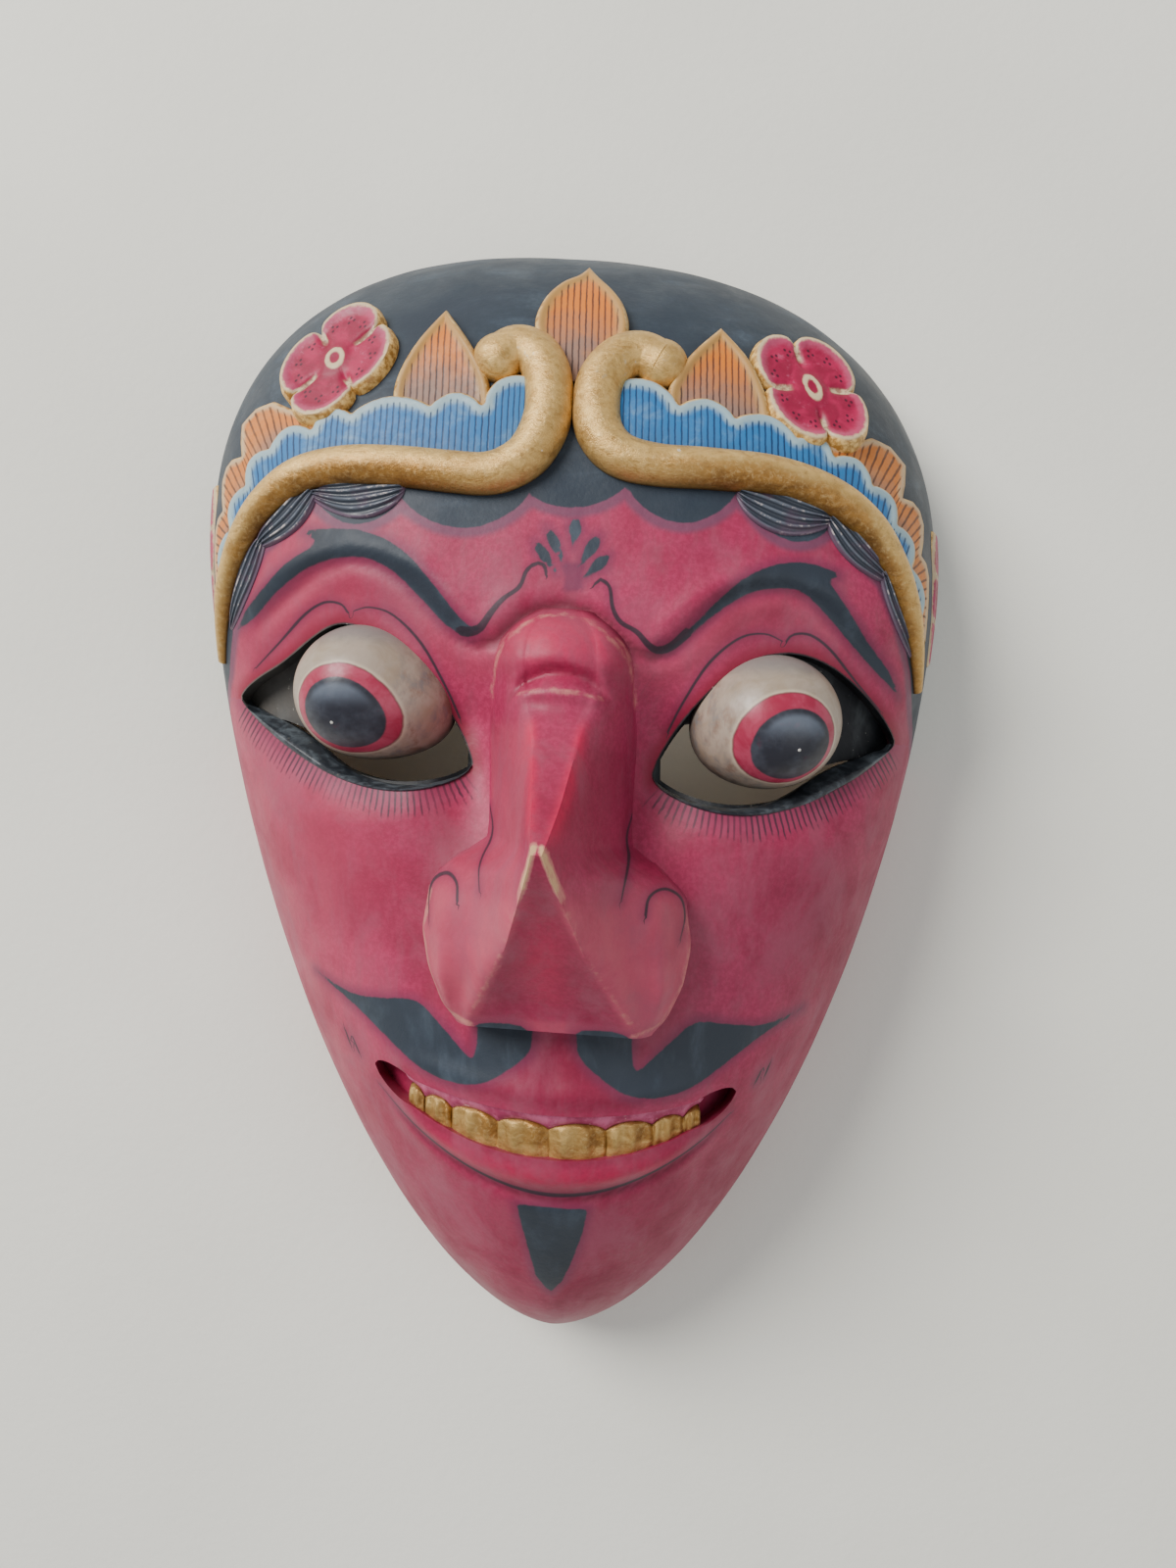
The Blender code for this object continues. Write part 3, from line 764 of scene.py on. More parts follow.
def rose_coat(made, cloud, blot, fine):
    """The rose paint alone, from salmon paint and painted light on the planes to painted crimson shade in
    the hollows.
    """
    pink_highlight, shade, crease_shade = made.kept_three("carving")
    salmon, foot = made.kept_three("tints_and_light")[:2]
    grain = made.noise(3.2, 5, 0.6, stretch=(1, 0.22, 0.6))
    rose = made.mix(made.band(cloud, 0.36, 0.64), ROSE_LIGHT, ROSE)
    rose = made.mix(made.band(blot, 0.45, 0.75, 0, 0.5), rose, ROSE_DEEP)
    rose = made.mix(made.band(made.noise(15, 4, 0.6), 0.5, 0.72, 0, 0.4), rose, ROSE_BRIGHT)
    rose = made.mix(made.band(made.noise(0.8, 4, 0.7), 0.42, 0.62, 0.32, 0), rose, ROSE_DEEP)
    # Painted shade: deeper crimson in the hollows and creases, round the nose and on its right plane.
    rose = made.mix(made.times(shade, 0.85), rose, ROSE_DEEP)
    # Salmon on the wings and brows, with painted light on the nose's left plane and the left temple.
    pale = made.times(salmon, made.band(blot, 0.2, 0.7, 1.0, 0.55))
    rose = made.mix(pale, rose, SALMON)
    # Hot pink strokes and painted highlights on the blade's edges, the lower lip, the facet and the root.
    rose = made.mix(made.times(pink_highlight, made.band(fine, 0.3, 0.6, 0.6, 0.95)), rose, HIGHLIGHT_PINK)
    dusty = made.noise(12, 6, 0.66, stretch=(1, 0.6, 1), warp=0.5)
    rose = made.mix(made.band(grain, 0.48, 0.75, 0, 0.35), rose, ROSE_GREY)
    rose = made.mix(made.band(dusty, 0.44, 0.68, 0, 0.55), rose, ROSE_GREY)
    rose = made.mix(made.band(foot, 0.5, -0.5, 0, 0.8), rose, MAUVE)
    # Painted shade in the cut line under the brows and the crease below the lip.
    return made.mix(made.times(crease_shade, 0.9), rose, CRIMSON_CREASE_SHADE)


def glazes_and_lid_shade(made, rose, nearest, lid, hair, blot, fine):
    """Darker glazes round the drawing and along the hair, and painted shade on the lids round the eye
    openings.
    """
    halo = made.band(made.plus(nearest, made.centred(blot, 2.0)), -0.4, 2.3, 0.75, 0)
    rose = made.mix(halo, rose, MAUVE)
    # Painted shade on the lids, darkest at the edge of the eye opening.
    lid_edge_shade = made.band(made.plus(lid, made.centred(blot, 2.0)), 0.2, 2.8, 0.85, 0)
    rose = made.mix(lid_edge_shade, rose, LID_SHADE)
    along_hair = made.band(made.plus(hair, made.centred(blot, 0.9)), 1.0, 2.3, 0.9, 0)
    return made.mix(along_hair, rose, made.mix(fine, HAIR_GLAZE, HAIR_GLAZE_LIGHT))


def lashed(made, rose, along, out):
    """Lash strokes on their lilac shadow below the eyes."""
    shadow = made.times(made.band(out, 0.0, 5.0, 0.5, 0), made.band(out, -0.2, 0.2))
    shadow = made.times(shadow, made.band(along, 0.3, 3.0))
    rose = made.mix(shadow, rose, LASH_SHADOW)
    return made.mix(made.times(lash_share(made, along, out), 0.85), rose, LASH_INK)


def rubbed_through(made, rose, worn):
    """Ridges rubbed to pale pink, and their crests to bare wood."""
    chips = made.plus(worn, made.centred(made.noise(2.2, 5, 0.7), 0.9))
    rose = made.mix(made.band(chips, 0.30, 0.62, 0, 0.75), rose, WORN_PINK)
    return made.mix(made.band(chips, 0.66, 0.95, 0, 0.95), rose, WORN_WOOD)


def slate_coat(made, brushed, cloud):
    """The slate of the brows, moustache and beard."""
    dark = made.mix(made.band(brushed, 0.46, 0.8, 0, 0.7), SLATE, SLATE_LIGHT)
    return made.mix(made.band(cloud, 0.5, 0.7, 0, 0.6), dark, SLATE_DARK)


def head_coat(made, hair):
    """The head's slate blue, clouded and brushed across."""
    strokes = made.noise(7, 7, 0.68, stretch=(0.3, 1, 1), turn=(0, 0, -0.5), warp=0.5)
    head = made.mix(made.band(strokes, 0.44, 0.76), HEAD, HEAD_LIGHT)
    head = made.mix(made.band(made.noise(1.0, 4, 0.7), 0.44, 0.6, 0.3, 0), head, HEAD_DARK)
    head = made.mix(made.band(made.noise(22, 4, 0.6), 0.42, 0.62, 0, 0.85), head, HEAD_CLOUD)
    return made.mix(made.band(hair, -4, -1, 0, 0.5), head, SLATE)


def socket_coat(made, brushed, blot):
    """The black of the eye recess, rubbed grey in the left one's corner."""
    socket = made.mix(made.band(brushed, 0.45, 0.75), SOCKET, SOCKET_LIGHT)
    socket = made.mix(made.band(made.noise(1.0, 2), 0.68, 0.74, 0, 0.7), socket, SOCKET_CHIP)
    rubbed = made.times(made.kept_three("tints_and_light")[2], made.band(blot, 0.3, 0.6, 0.5, 1.0))
    return made.mix(rubbed, socket, SOCKET_RUBBED)


def face_paint():
    """Rose paint with painted light and shade, slate hair, brows and moustache, lash strokes, and wear on
    the ridges.
    """
    made = Finish("face_paint", 0.42, shine=DRY_SHINE)
    slate, hair, lid = made.kept_three("paint")
    along, out, worn = made.kept_three("lash")
    signed, near, width = made.kept_three("line")
    cloud = made.noise(34, 3, 0.5)
    blot = made.noise(9, 5, 0.6, warp=0.4)
    fine = made.noise(1.6, 6, 0.65)
    brushed = made.noise(6, 6, 0.62, stretch=(1, 0.35, 1), turn=(0, 0, 0.7), warp=0.3)
    ragged = made.centred(fine, 0.5)
    first, second, third = made.kept_three("brow_petals")
    petals = made.math("MINIMUM", made.math("MINIMUM", first, second), third)
    slate = made.math("MINIMUM", slate, made.plus(petals, 0.05))
    nearest = made.math("MINIMUM", slate, made.plus(near, 0.6))

    colour = glazes_and_lid_shade(made, rose_coat(made, cloud, blot, fine), nearest, lid, hair, blot, fine)
    colour = rubbed_through(made, lashed(made, colour, along, out), worn)
    drawn = made.band(made.plus(slate, ragged), 0.16, -0.16)
    colour = made.mix(drawn, colour, slate_coat(made, brushed, cloud))
    thin = made.less(made.math("ABSOLUTE", signed), made.plus(width, made.centred(fine, 0.14)))
    thin = made.times(made.band(thin, 0.12, -0.10), made.band(near, 1.4, 0.9))
    ink = made.mix(fine, SLATE_DARK, LINE_INK)
    colour = made.mix(made.times(thin, 0.92), colour, ink)
    colour = made.mix(made.band(made.plus(hair, ragged), 0.15, -0.15), colour, head_coat(made, hair))
    inside = made.band(made.plus(lid, made.centred(fine, 0.3)), 0.45, 0.05)
    made.colour(made.mix(inside, colour, socket_coat(made, brushed, blot)))
    made.roughness(made.band(blot, 0.2, 0.8, 0.44, 0.62))
    made.bump(made.plus(made.times(fine, 0.9), made.times(blot, 1.2)), 0.45, 0.18)
    return made.material


def raw_wood():
    """Bare carved wood with its grain and gouge marks, for the back."""
    made = Finish("raw_wood", 0.7)
    grain = made.noise(2.4, 6, 0.62, stretch=(1, 0.08, 1), warp=0.3)
    cloud = made.noise(26, 3)
    colour = made.mix(made.band(grain, 0.35, 0.68), RAW_WOOD, RAW_WOOD_DARK)
    colour = made.mix(made.band(cloud, 0.4, 0.7, 0, 0.5), colour, RAW_WOOD_STAIN)
    made.colour(colour)
    made.roughness(made.band(grain, 0.3, 0.7, 0.62, 0.8))
    made.bump(grain, 0.6, 0.35)
    return made.material


def gold_paint(name="gold_paint", dark=0.0):
    """Bronze paint: fine grained, with a painted highlight low on the roll and on its curl, browner along
    its upper side, and painted shade where it meets the face.
    """
    made = Finish(name, 0.4, 0.6)
    rise, across, along = made.kept_three("roll")
    fine = made.noise(0.9, 6, 0.75, warp=0.5)
    streak = made.noise(1.9, 6, 0.72, stretch=(0.5, 1, 1), turn=(0, 0, 0.5), warp=0.7)
    blot = made.noise(9, 5, 0.62, warp=0.4)
    colour = made.mix(made.band(streak, 0.38, 0.66), GOLD, GOLD_BROWN)
    colour = made.mix(made.band(blot, 0.42, 0.72, 0, 0.6), colour, GOLD_DARK)
    # Painted highlight along the lit side of the roll and on its curl.
    lit_side = made.band(made.plus(across, made.centred(blot, 0.9)), -0.35, 0.5)
    lit_side = made.math("MAXIMUM", lit_side, made.band(along, 0.46, 0.3, 0, 0.8))
    glint = made.times(made.band(streak, 0.30, 0.62, 0.35, 1.0), lit_side)
    colour = made.mix(made.times(glint, 0.85), colour, GOLD_LIGHT)
    # Pale grain specks, stronger on top of the roll as a painted glint.
    speck_glint = made.times(made.band(fine, 0.46, 0.72), made.band(rise, 0.1, 0.8, 0.1, 0.4))
    colour = made.mix(speck_glint, colour, GOLD_SPECK_GLINT)
    colour = made.mix(made.band(fine, 0.44, 0.32, 0, 0.4), colour, GOLD_DARK)
    # Painted shade low on the roll, where it meets the face.
    colour = made.mix(made.band(rise, 0.30, -0.05, 0, 0.85), colour, GOLD_SHADE)
    if dark:
        # Painted shade of the mouth's recess: the left part of each tooth darker.
        recess = made.band(across, -0.2, 0.25, 0.0, dark)
        colour = made.mix(recess, colour, GOLD_RECESS_SHADE)
    thinned = made.band(made.noise(3.0, 5, 0.72), 0.62, 0.68)
    rubbed = made.times(thinned, made.band(along, 0.2, 0.06, 0, 0.55))
    colour = made.mix(rubbed, colour, GOLD_THINNED)
    chips = made.times(made.band(made.noise(2.4, 3, 0.6), 0.735, 0.745), made.band(rise, 0.5, 0.8))
    colour = made.mix(chips, colour, GOLD_CHIP)
    made.colour(colour)
    made.roughness(made.band(streak, 0.3, 0.7, 0.34, 0.52))
    made.bump(made.plus(fine, made.times(streak, 1.8)), 0.6, 0.2)
    return made.material


HATCH_PERIOD = 1.05
HATCH_THIN = 0.17


def hatched(name, field, foot, rim, line, rim_width=1.3, rim_gold=0.6):
    """A painted field with fine drawn lines, inside a pale rim with a gilt edge."""
    made = Finish(name, 0.5, shine=DRY_SHINE)
    edge, hatch, up = made.kept_three("drawing")
    fine = made.noise(1.3, 5, 0.65)
    blot = made.noise(5, 5, 0.62, warp=0.4)
    ragged = made.centred(made.noise(1.7, 3, 0.6), 1.3)
    colour = made.mix(made.band(made.plus(up, made.centred(blot, 0.5)), 0.15, 0.6), foot, field)
    colour = made.mix(made.band(blot, 0.5, 0.78, 0, 0.35), colour, rim)
    inner = made.plus(edge, ragged)
    colour = made.mix(made.band(inner, rim_width * 2.2, rim_width * 1.0, 0, 0.92), colour, rim)
    gilt = made.plus(edge, made.times(ragged, 0.5))
    gilt = made.band(gilt, rim_gold * 1.5, rim_gold * 0.8)
    colour = made.mix(gilt, colour, made.mix(made.band(fine, 0.40, 0.62), GOLD, GILT_RIM))
    colour = made.mix(made.band(edge, 0.22, 0.05, 0, 0.8), colour, GILT_RIM_SHADE)
    wave = made.math("PINGPONG", made.plus(hatch, made.times(ragged, 0.22)), HATCH_PERIOD / 2)
    start = made.plus(rim_width * 1.15, made.times(ragged, 0.9))
    drawn = made.times(made.band(wave, HATCH_THIN * 1.2, HATCH_THIN * 0.5),
                      made.band(made.less(edge, start), 0, 0.4))
    colour = made.mix(made.times(drawn, made.band(blot, 0.3, 0.7, 0.95, 0.7)), colour, line)
    made.colour(colour)
    made.roughness(made.band(fine, 0.3, 0.7, 0.42, 0.6))
    made.bump(made.less(made.times(fine, 0.5), drawn), 0.3, 0.12)
    return made.material


def triple_dots(made, colour, lobe_x, lobe_y):
    """Three clusters of three small dark dots on each lobe."""
    for number in range(3):
        middle_x = 5.4 + (1.1 if number == 1 else 0)
        middle_y = (number - 1) * 2.6
        for dot in range(3):
            turn = dot * 2 * math.pi / 3 + 0.5 * number
            x = made.less(lobe_x, middle_x + 0.5 * math.cos(turn))
            y = made.less(lobe_y, middle_y + 0.5 * math.sin(turn))
            square = made.plus(made.times(x, x), made.times(y, y))
            dark = made.band(made.math("SQRT", square), 0.3, 0.16, 0, 0.9)
            colour = made.mix(dark, colour, PETAL_DOT)
    return colour


def petal_paint():
    """Pink lobes with a cream and gilt edge, pale gaps, and small triple dots."""
    made = Finish("petal_paint", 0.45, shine=DRY_SHINE)
    edge, gap, ring = made.kept_three("drawing")
    lobe_x, lobe_y = made.kept_three("lobe")[:2]
    fine = made.noise(1.1, 5, 0.65)
    blot = made.noise(3.6, 5, 0.62, warp=0.5)
    ragged = made.centred(made.noise(1.0, 4, 0.65), 1.6)
    colour = made.mix(made.band(blot, 0.35, 0.62), PETAL, PETAL_DEEP)
    colour = made.mix(made.band(made.plus(edge, ragged), 2.6, 1.3, 0, 0.5), colour, PETAL_LIGHT)
    colour = made.mix(made.band(made.noise(2.0, 4, 0.7), 0.58, 0.7, 0, 0.5), colour, PETAL_LIGHT)
    colour = triple_dots(made, colour, lobe_x, lobe_y)
    colour = made.mix(made.band(ring, 2.9, 2.0, 0, 0.8), colour, PETAL_DEEP)
    oval = made.math("ABSOLUTE", made.less(ring, 1.15))
    oval = made.plus(oval, made.times(ragged, 0.2))
    colour = made.mix(made.band(oval, 0.5, 0.2), colour, CREAM)
    gaps = made.band(made.plus(gap, made.times(ragged, 0.3)), 0.6, 0.25)
    gaps = made.times(gaps, made.band(ring, 3.0, 3.8))
    colour = made.mix(gaps, colour, made.mix(made.band(fine, 0.4, 0.6), CREAM, PETAL_GAP))
    rim = made.band(made.plus(edge, made.times(ragged, 0.6)), 1.3, 0.8)
    colour = made.mix(rim, colour, CREAM)
    gilt = made.band(made.plus(edge, made.times(ragged, 0.2)), 0.75, 0.35)
    colour = made.mix(gilt, colour, made.mix(made.band(fine, 0.4, 0.62), GOLD, GOLD_LIGHT))
    made.colour(colour)
    made.roughness(made.band(fine, 0.3, 0.7, 0.38, 0.55))
    made.bump(made.plus(fine, made.times(blot, 1.5)), 0.4, 0.14)
    return made.material


def eye_paint():
    """Cream eyeball, mottled grey and brown, with painted shade under the lid and round its sides, a pink
    ring, and a slate pupil with a painted reflection on its upper part.
    """
    made = Finish("eye_paint", 0.36, shine=0.4)
    iris, pupil, lid = made.kept_three("gaze")
    inner, up, out = made.kept_three("inner")
    cloud = made.noise(4.5, 5, 0.62, warp=0.6)
    fine = made.noise(1.4, 5, 0.6)
    ragged = made.centred(made.noise(2.4, 3, 0.6), 2.2)
    colour = made.mix(made.band(cloud, 0.42, 0.72), EYE_CREAM, EYE_CREAM_DARK)
    stain = made.times(made.band(made.noise(2.6, 5, 0.66, stretch=(1, 0.5, 1)), 0.4, 0.66),
                      made.band(inner, 0.0, 0.9, 0.12, 0.9))
    colour = made.mix(stain, colour, made.mix(made.band(cloud, 0.4, 0.6), EYE_BROWN, EYE_GREY))
    # Painted shadow of the upper lid on the ball.
    shadow = made.band(made.plus(lid, made.centred(cloud, 0.7)), 0.1, 1.0, 0, 0.8)
    colour = made.mix(shadow, colour, EYE_GREY)
    # Painted shade where the ball turns down into the recess.
    colour = made.mix(made.band(out, 0.35, 0.0, 0, 0.85), colour, EYE_UNDERSIDE_SHADE)
    colour = made.mix(made.band(iris, 4.5, 0.5, 0, 0.5), colour, EYE_CREAM_RING)
    ring = made.mix(made.band(cloud, 0.35, 0.65), IRIS_LIGHT, IRIS)
    edge = made.plus(iris, ragged)
    colour = made.mix(made.band(edge, 0.8, -0.8), colour, ring)
    colour = made.mix(made.band(made.math("ABSOLUTE", edge), 1.3, 0.3, 0, 0.6), colour, IRIS_EDGE)
    dark = made.mix(made.band(made.noise(5, 4, 0.6), 0.4, 0.75), PUPIL, PUPIL_LIGHT)
    dark = made.mix(made.band(made.noise(1.8, 2), 0.62, 0.8, 0, 0.4), dark, PUPIL_ROSE)
    # Painted reflection on the pupil's upper part.
    sky_reflection = made.times(made.band(up, -0.35, 0.0), made.band(pupil, -2, -8))
    dark = made.mix(made.times(sky_reflection, 0.4), dark, PUPIL_SKY_REFLECTION)
    pupil = made.plus(pupil, made.times(ragged, 0.8))
    colour = made.mix(made.band(pupil, 0.8, -0.8), colour, dark)
    made.colour(colour)
    made.roughness(made.band(fine, 0.3, 0.7, 0.3, 0.46))
    made.bump(made.plus(fine, cloud), 0.22, 0.14)
    return made.material


def lid_black():
    """Satin slate black, thin and rubbed lighter on its edge."""
    made = Finish("lid_black", 0.34)
    streak = made.noise(2.6, 5, 0.65, warp=0.5)
    fine = made.noise(0.9, 4, 0.6)
    colour = made.mix(made.band(streak, 0.4, 0.72), LID_BLACK, LID_GREY)
    colour = made.mix(made.band(fine, 0.62, 0.8, 0, 0.5), colour, LID_RUBBED)
    made.colour(colour)
    made.roughness(made.band(streak, 0.3, 0.7, 0.28, 0.46))
    made.bump(fine, 0.3, 0.12)
    return made.material


def gum_pink():
    """Lilac pink paint of the gum, uneven and rubbed."""
    made = Finish("gum_pink", 0.5)
    blot = made.noise(2.4, 5, 0.66, stretch=(1, 0.5, 1))
    chips = made.noise(0.9, 3, 0.6)
    colour = made.mix(made.band(blot, 0.38, 0.66), GUM_LIGHT, GUM)
    made.colour(made.mix(made.band(chips, 0.68, 0.74), colour, GUM_CHIP))
    made.roughness(made.band(blot, 0.3, 0.7, 0.42, 0.6))
    made.bump(blot, 0.4, 0.2)
    return made.material


def combed_hair():
    """Slate locks whose combed ridges carry a painted highlight, rubbed pale and rosy."""
    made = Finish("combed_hair", 0.42)
    comb, _, edge = made.kept_three("comb")
    fine = made.noise(1.2, 5, 0.65)
    blot = made.noise(4.5, 4, 0.6)
    # Painted highlight on the combed crests.
    colour = made.mix(made.band(comb, 0.3, 0.95), LOCK, LOCK_RIDGE_HIGHLIGHT)
    colour = made.mix(made.band(blot, 0.5, 0.7, 0, 0.5), colour, LOCK_ROSE)
    patchy = made.band(made.noise(2.4, 5, 0.74), 0.52, 0.64)
    rubbed = made.times(made.band(comb, 0.6, 0.95), patchy)
    colour = made.mix(rubbed, colour, LOCK_RUBBED)
    colour = made.mix(made.band(edge, 0.8, 0.2, 0, 0.7), colour, LOCK_EDGE)
    made.colour(colour)
    made.roughness(made.band(fine, 0.3, 0.7, 0.34, 0.52))
    made.bump(made.plus(fine, made.times(comb, 1.5)), 0.3, 0.12)
    return made.material


def white_dot():
    """Chalky white paint."""
    made = Finish("white_dot", 0.6)
    blot = made.noise(0.6, 3)
    made.colour(made.mix(blot, CHALK, CHALK_GREY))
    return made.material


def pale_floor():
    """A plain pale floor."""
    made = Finish("pale_floor", 0.85)
    cloud = made.noise(120, 3)
    fine = made.noise(2.2, 4, 0.6)
    made.colour(made.mix(made.band(cloud, 0.3, 0.7), FLOOR_LIGHT, FLOOR))
    made.bump(fine, 0.25, 0.4)
    return made.material


# Drawn outlines of the paint, in steps on one side of the face

BROWS = {
    -1: [(57.4, 21.2), (54.6, 24.6), (51.2, 27.4), (46.5, 31.4), (41.4, 34.4), (41.6, 35.6), (43.2, 36.8),
         (38.2, 37.2), (32.1, 36.7), (26.3, 34.0), (21.8, 29.6), (17.7, 24.8), (15.1, 22.4), (13.4, 22.4),
         (15.4, 20.9), (19.2, 22.7), (23.1, 26.5), (27.7, 30.6), (32.7, 32.6), (38.5, 32.2), (43.7, 30.2),
         (49.2, 26.4), (53.4, 22.9)],
    1: [(57.2, 17.6), (54.3, 21.6), (49.8, 25.6), (45.8, 30.0), (42.6, 33.4), (42.4, 34.4), (44.0, 35.6),
        (38.8, 36.6), (33.8, 35.9), (29.0, 33.6), (24.8, 30.0), (19.8, 24.6), (17.4, 22.1), (15.0, 21.2),
        (17.2, 21.2), (22.8, 26.4), (28.3, 30.5), (33.0, 32.0), (37.6, 32.1), (42.2, 29.0), (47.2, 24.7),
        (52.6, 20.6)]}
BROW_TAILS = {
    -1: [(16.4, 21.7), (15.0, 21.6), (13.3, 22.2), (11.8, 24.5), (9.9, 26.9), (7.3, 29.0), (6.3, 31.7),
         (4.8, 33.0), (3.5, 32.8), (3.2, 31.6)],
    1: [(19.4, 23.9), (17.0, 21.6), (14.9, 20.7), (13.2, 21.3), (11.3, 23.2), (8.7, 24.6), (7.4, 26.8),
        (6.9, 29.9), (5.5, 31.1), (4.6, 30.2)]}
LID_FOLDS = [[(53.5, 14.7), (47.8, 19.5), (43.2, 23.6), (39.7, 25.5), (36.8, 25.3), (35.6, 24.0)],
             [(34.4, 24.3), (31.8, 24.9), (27.8, 23.8), (23.0, 19.4), (19.1, 12.8), (17.0, 8.2)]]
MOUSTACHE = [(41.8, -36.6), (34.4, -38.6), (28.4, -38.2), (22.4, -37.6), (18.4, -40.6), (15.4, -43.4),
             (12.9, -45.4), (12.1, -42.4), (11.4, -38.2), (4.2, -38.0), (3.5, -41.2), (4.6, -44.2),
             (10.4, -48.6), (15.8, -49.7), (21.4, -48.4), (27.2, -45.0), (33.4, -40.8)]
BEARD = [(-5.8, -70.2), (5.8, -70.2), (5.2, -75.0), (3.6, -81.0), (2.0, -86.0), (-0.2, -89.2),
         (-2.6, -85.6), (-4.2, -78.0)]
BROW_PETALS = [((-5.0, 36.4), (-1.3, 31.4), 0.98), ((-3.2, 38.7), (0.0, 32.6), 0.98),
               ((1.4, 40.6), (1.0, 36.0), 1.15), ((5.0, 38.0), (1.9, 32.8), 1.05),
               ((6.6, 35.1), (2.5, 30.8), 1.0)]
BROW_FLOWER_FOOT = [(-1.2, 33.4), (3.2, 33.6), (2.4, 31.0), (2.9, 29.0), (-0.5, 28.7), (-0.2, 31.0)]
HAIR_CUSPS = [(-70, 4), (-64, 8), (-60.6, 14), (-58.4, 21.5), (-55, 28.4), (-51.8, 34.4), (-47, 37.4),
              (-41.8, 43.0), (-26.7, 42.7), (-6.1, 44.3), (9.2, 46.6), (27.2, 47.6), (42.8, 44.0),
              (47.6, 39.0), (52.4, 36.0), (56, 29.6), (59.6, 22.0), (61.4, 15), (64, 9), (70, 4)]
HAIR_DEPTHS = {-41.8: 4.9, -26.7: 5.5, -6.1: 3.0, 9.2: 6.0, 27.2: 5.8}
WING_CURL = [(18.9, -23.5), (19.6, -20.4), (18.9, -17.4), (16.4, -16.0), (14.2, -17.0), (13.7, -19.6)]
NOSE_SIDE_LINE = [(11.4, -5.6), (10.5, -9.0), (10.9, -12.6), (10.2, -17.6)]
MOUTH_TICKS = [[(34.6, -46.8), (33.4, -49.4)], [(36.2, -45.8), (35.2, -48.6)]]


EYE_INNER = (14.8, 1.0)
EYE_SPAN = (42.2, 8.8)
UPPER_LID_RISE = 16.5
LOWER_LID_DROP = 8.2


def lid_line(part, share, way):
    """Upper or lower lid line of the almond eye, from the nose to the temple."""
    x = EYE_INNER[0] + EYE_SPAN[0] * share
    chord = EYE_INNER[1] + EYE_SPAN[1] * share
    if part == "upper":
        flat = 1 - 0.3 * (way < 0) * smooth_step((share - 0.5) / 0.35)
        y = chord + 0.3 + UPPER_LID_RISE * flat * np.sin(math.pi * share ** 0.9) ** 0.85
    else:
        y = chord - 0.3 - LOWER_LID_DROP * np.sin(math.pi * share ** 0.85) ** 0.8
    return np.stack([x, y], -1)


def slate_distance(x, y):
    """Signed distance from everything painted slate on the face."""
    slate = np.minimum(from_shape(np.abs(x), y, smooth_loop(MOUSTACHE)), from_shape(x, y, BEARD))
    for way, brow in BROWS.items():
        slate = np.minimum(slate, from_shape(way * x, y, smooth_loop(brow)))
    return slate


def brow_petal_distances(x, y):
    """Distances from the five small petals over the nose: those with a narrow gap are kept apart."""
    far = []
    for tip, base, width in BROW_PETALS:
        near, along = from_line(x, y, [tip, base])
        share = along / np.hypot(tip[0] - base[0], tip[1] - base[1])
        far.append(near - width * np.interp(share, [0, 0.12, 0.4, 0.62, 1], [0.2, 0.75, 1, 0.6, 0.12]))
    left, inner_left, middle, inner_right, right = far
    return np.minimum(left, inner_right), np.minimum(inner_left, right), middle


def face_lines():
    """The thin drawn lines of the face, with their half widths at start, middle and end."""
    share = np.linspace(-1, 1, 21)
    lip = np.stack([29.5 * share, mouth_line(29.5 * share, "under") + 0.3], -1)
    lines = [(lip, (0.05, 0.5, 0.05))]
    for way in (-1, 1):
        mirror = np.array([way, 1])
        lines.append((np.array(BROW_TAILS[way]) * mirror, (0.75, 0.36, 0.26)))
        for fold in LID_FOLDS:
            lines.append((np.array(fold) * mirror, (0.1, 0.24, 0.16)))
        for tick in MOUTH_TICKS:
            lines.append((np.array(tick) * mirror, (0.12, 0.18, 0.1)))
    return lines


def nose_lines():
    """The thin drawn curls of the nose, with their half widths."""
    lines = []
    for way in (-1, 1):
        mirror = np.array([way, 1])
        lines.append((np.array(WING_CURL) * mirror, (0.06, 0.28 if way < 0 else 0.18, 0.2)))
        lines.append((np.array(NOSE_SIDE_LINE) * mirror, (0.10, 0.22, 0.06)))
    return lines


def hair_edge():
    """The scalloped lower edge of the painted hair."""
    edge = []
    for start, end in zip(HAIR_CUSPS[:-1], HAIR_CUSPS[1:]):
        depth = HAIR_DEPTHS.get(start[0], 0)
        for share in np.arange(14) / 14:
            drop = depth * math.sin(math.pi * share) ** 0.7
            x = start[0] + (end[0] - start[0]) * share
            edge.append((x, start[1] + (end[1] - start[1]) * share - drop))
    edge.append(HAIR_CUSPS[-1])
    return np.array(edge)


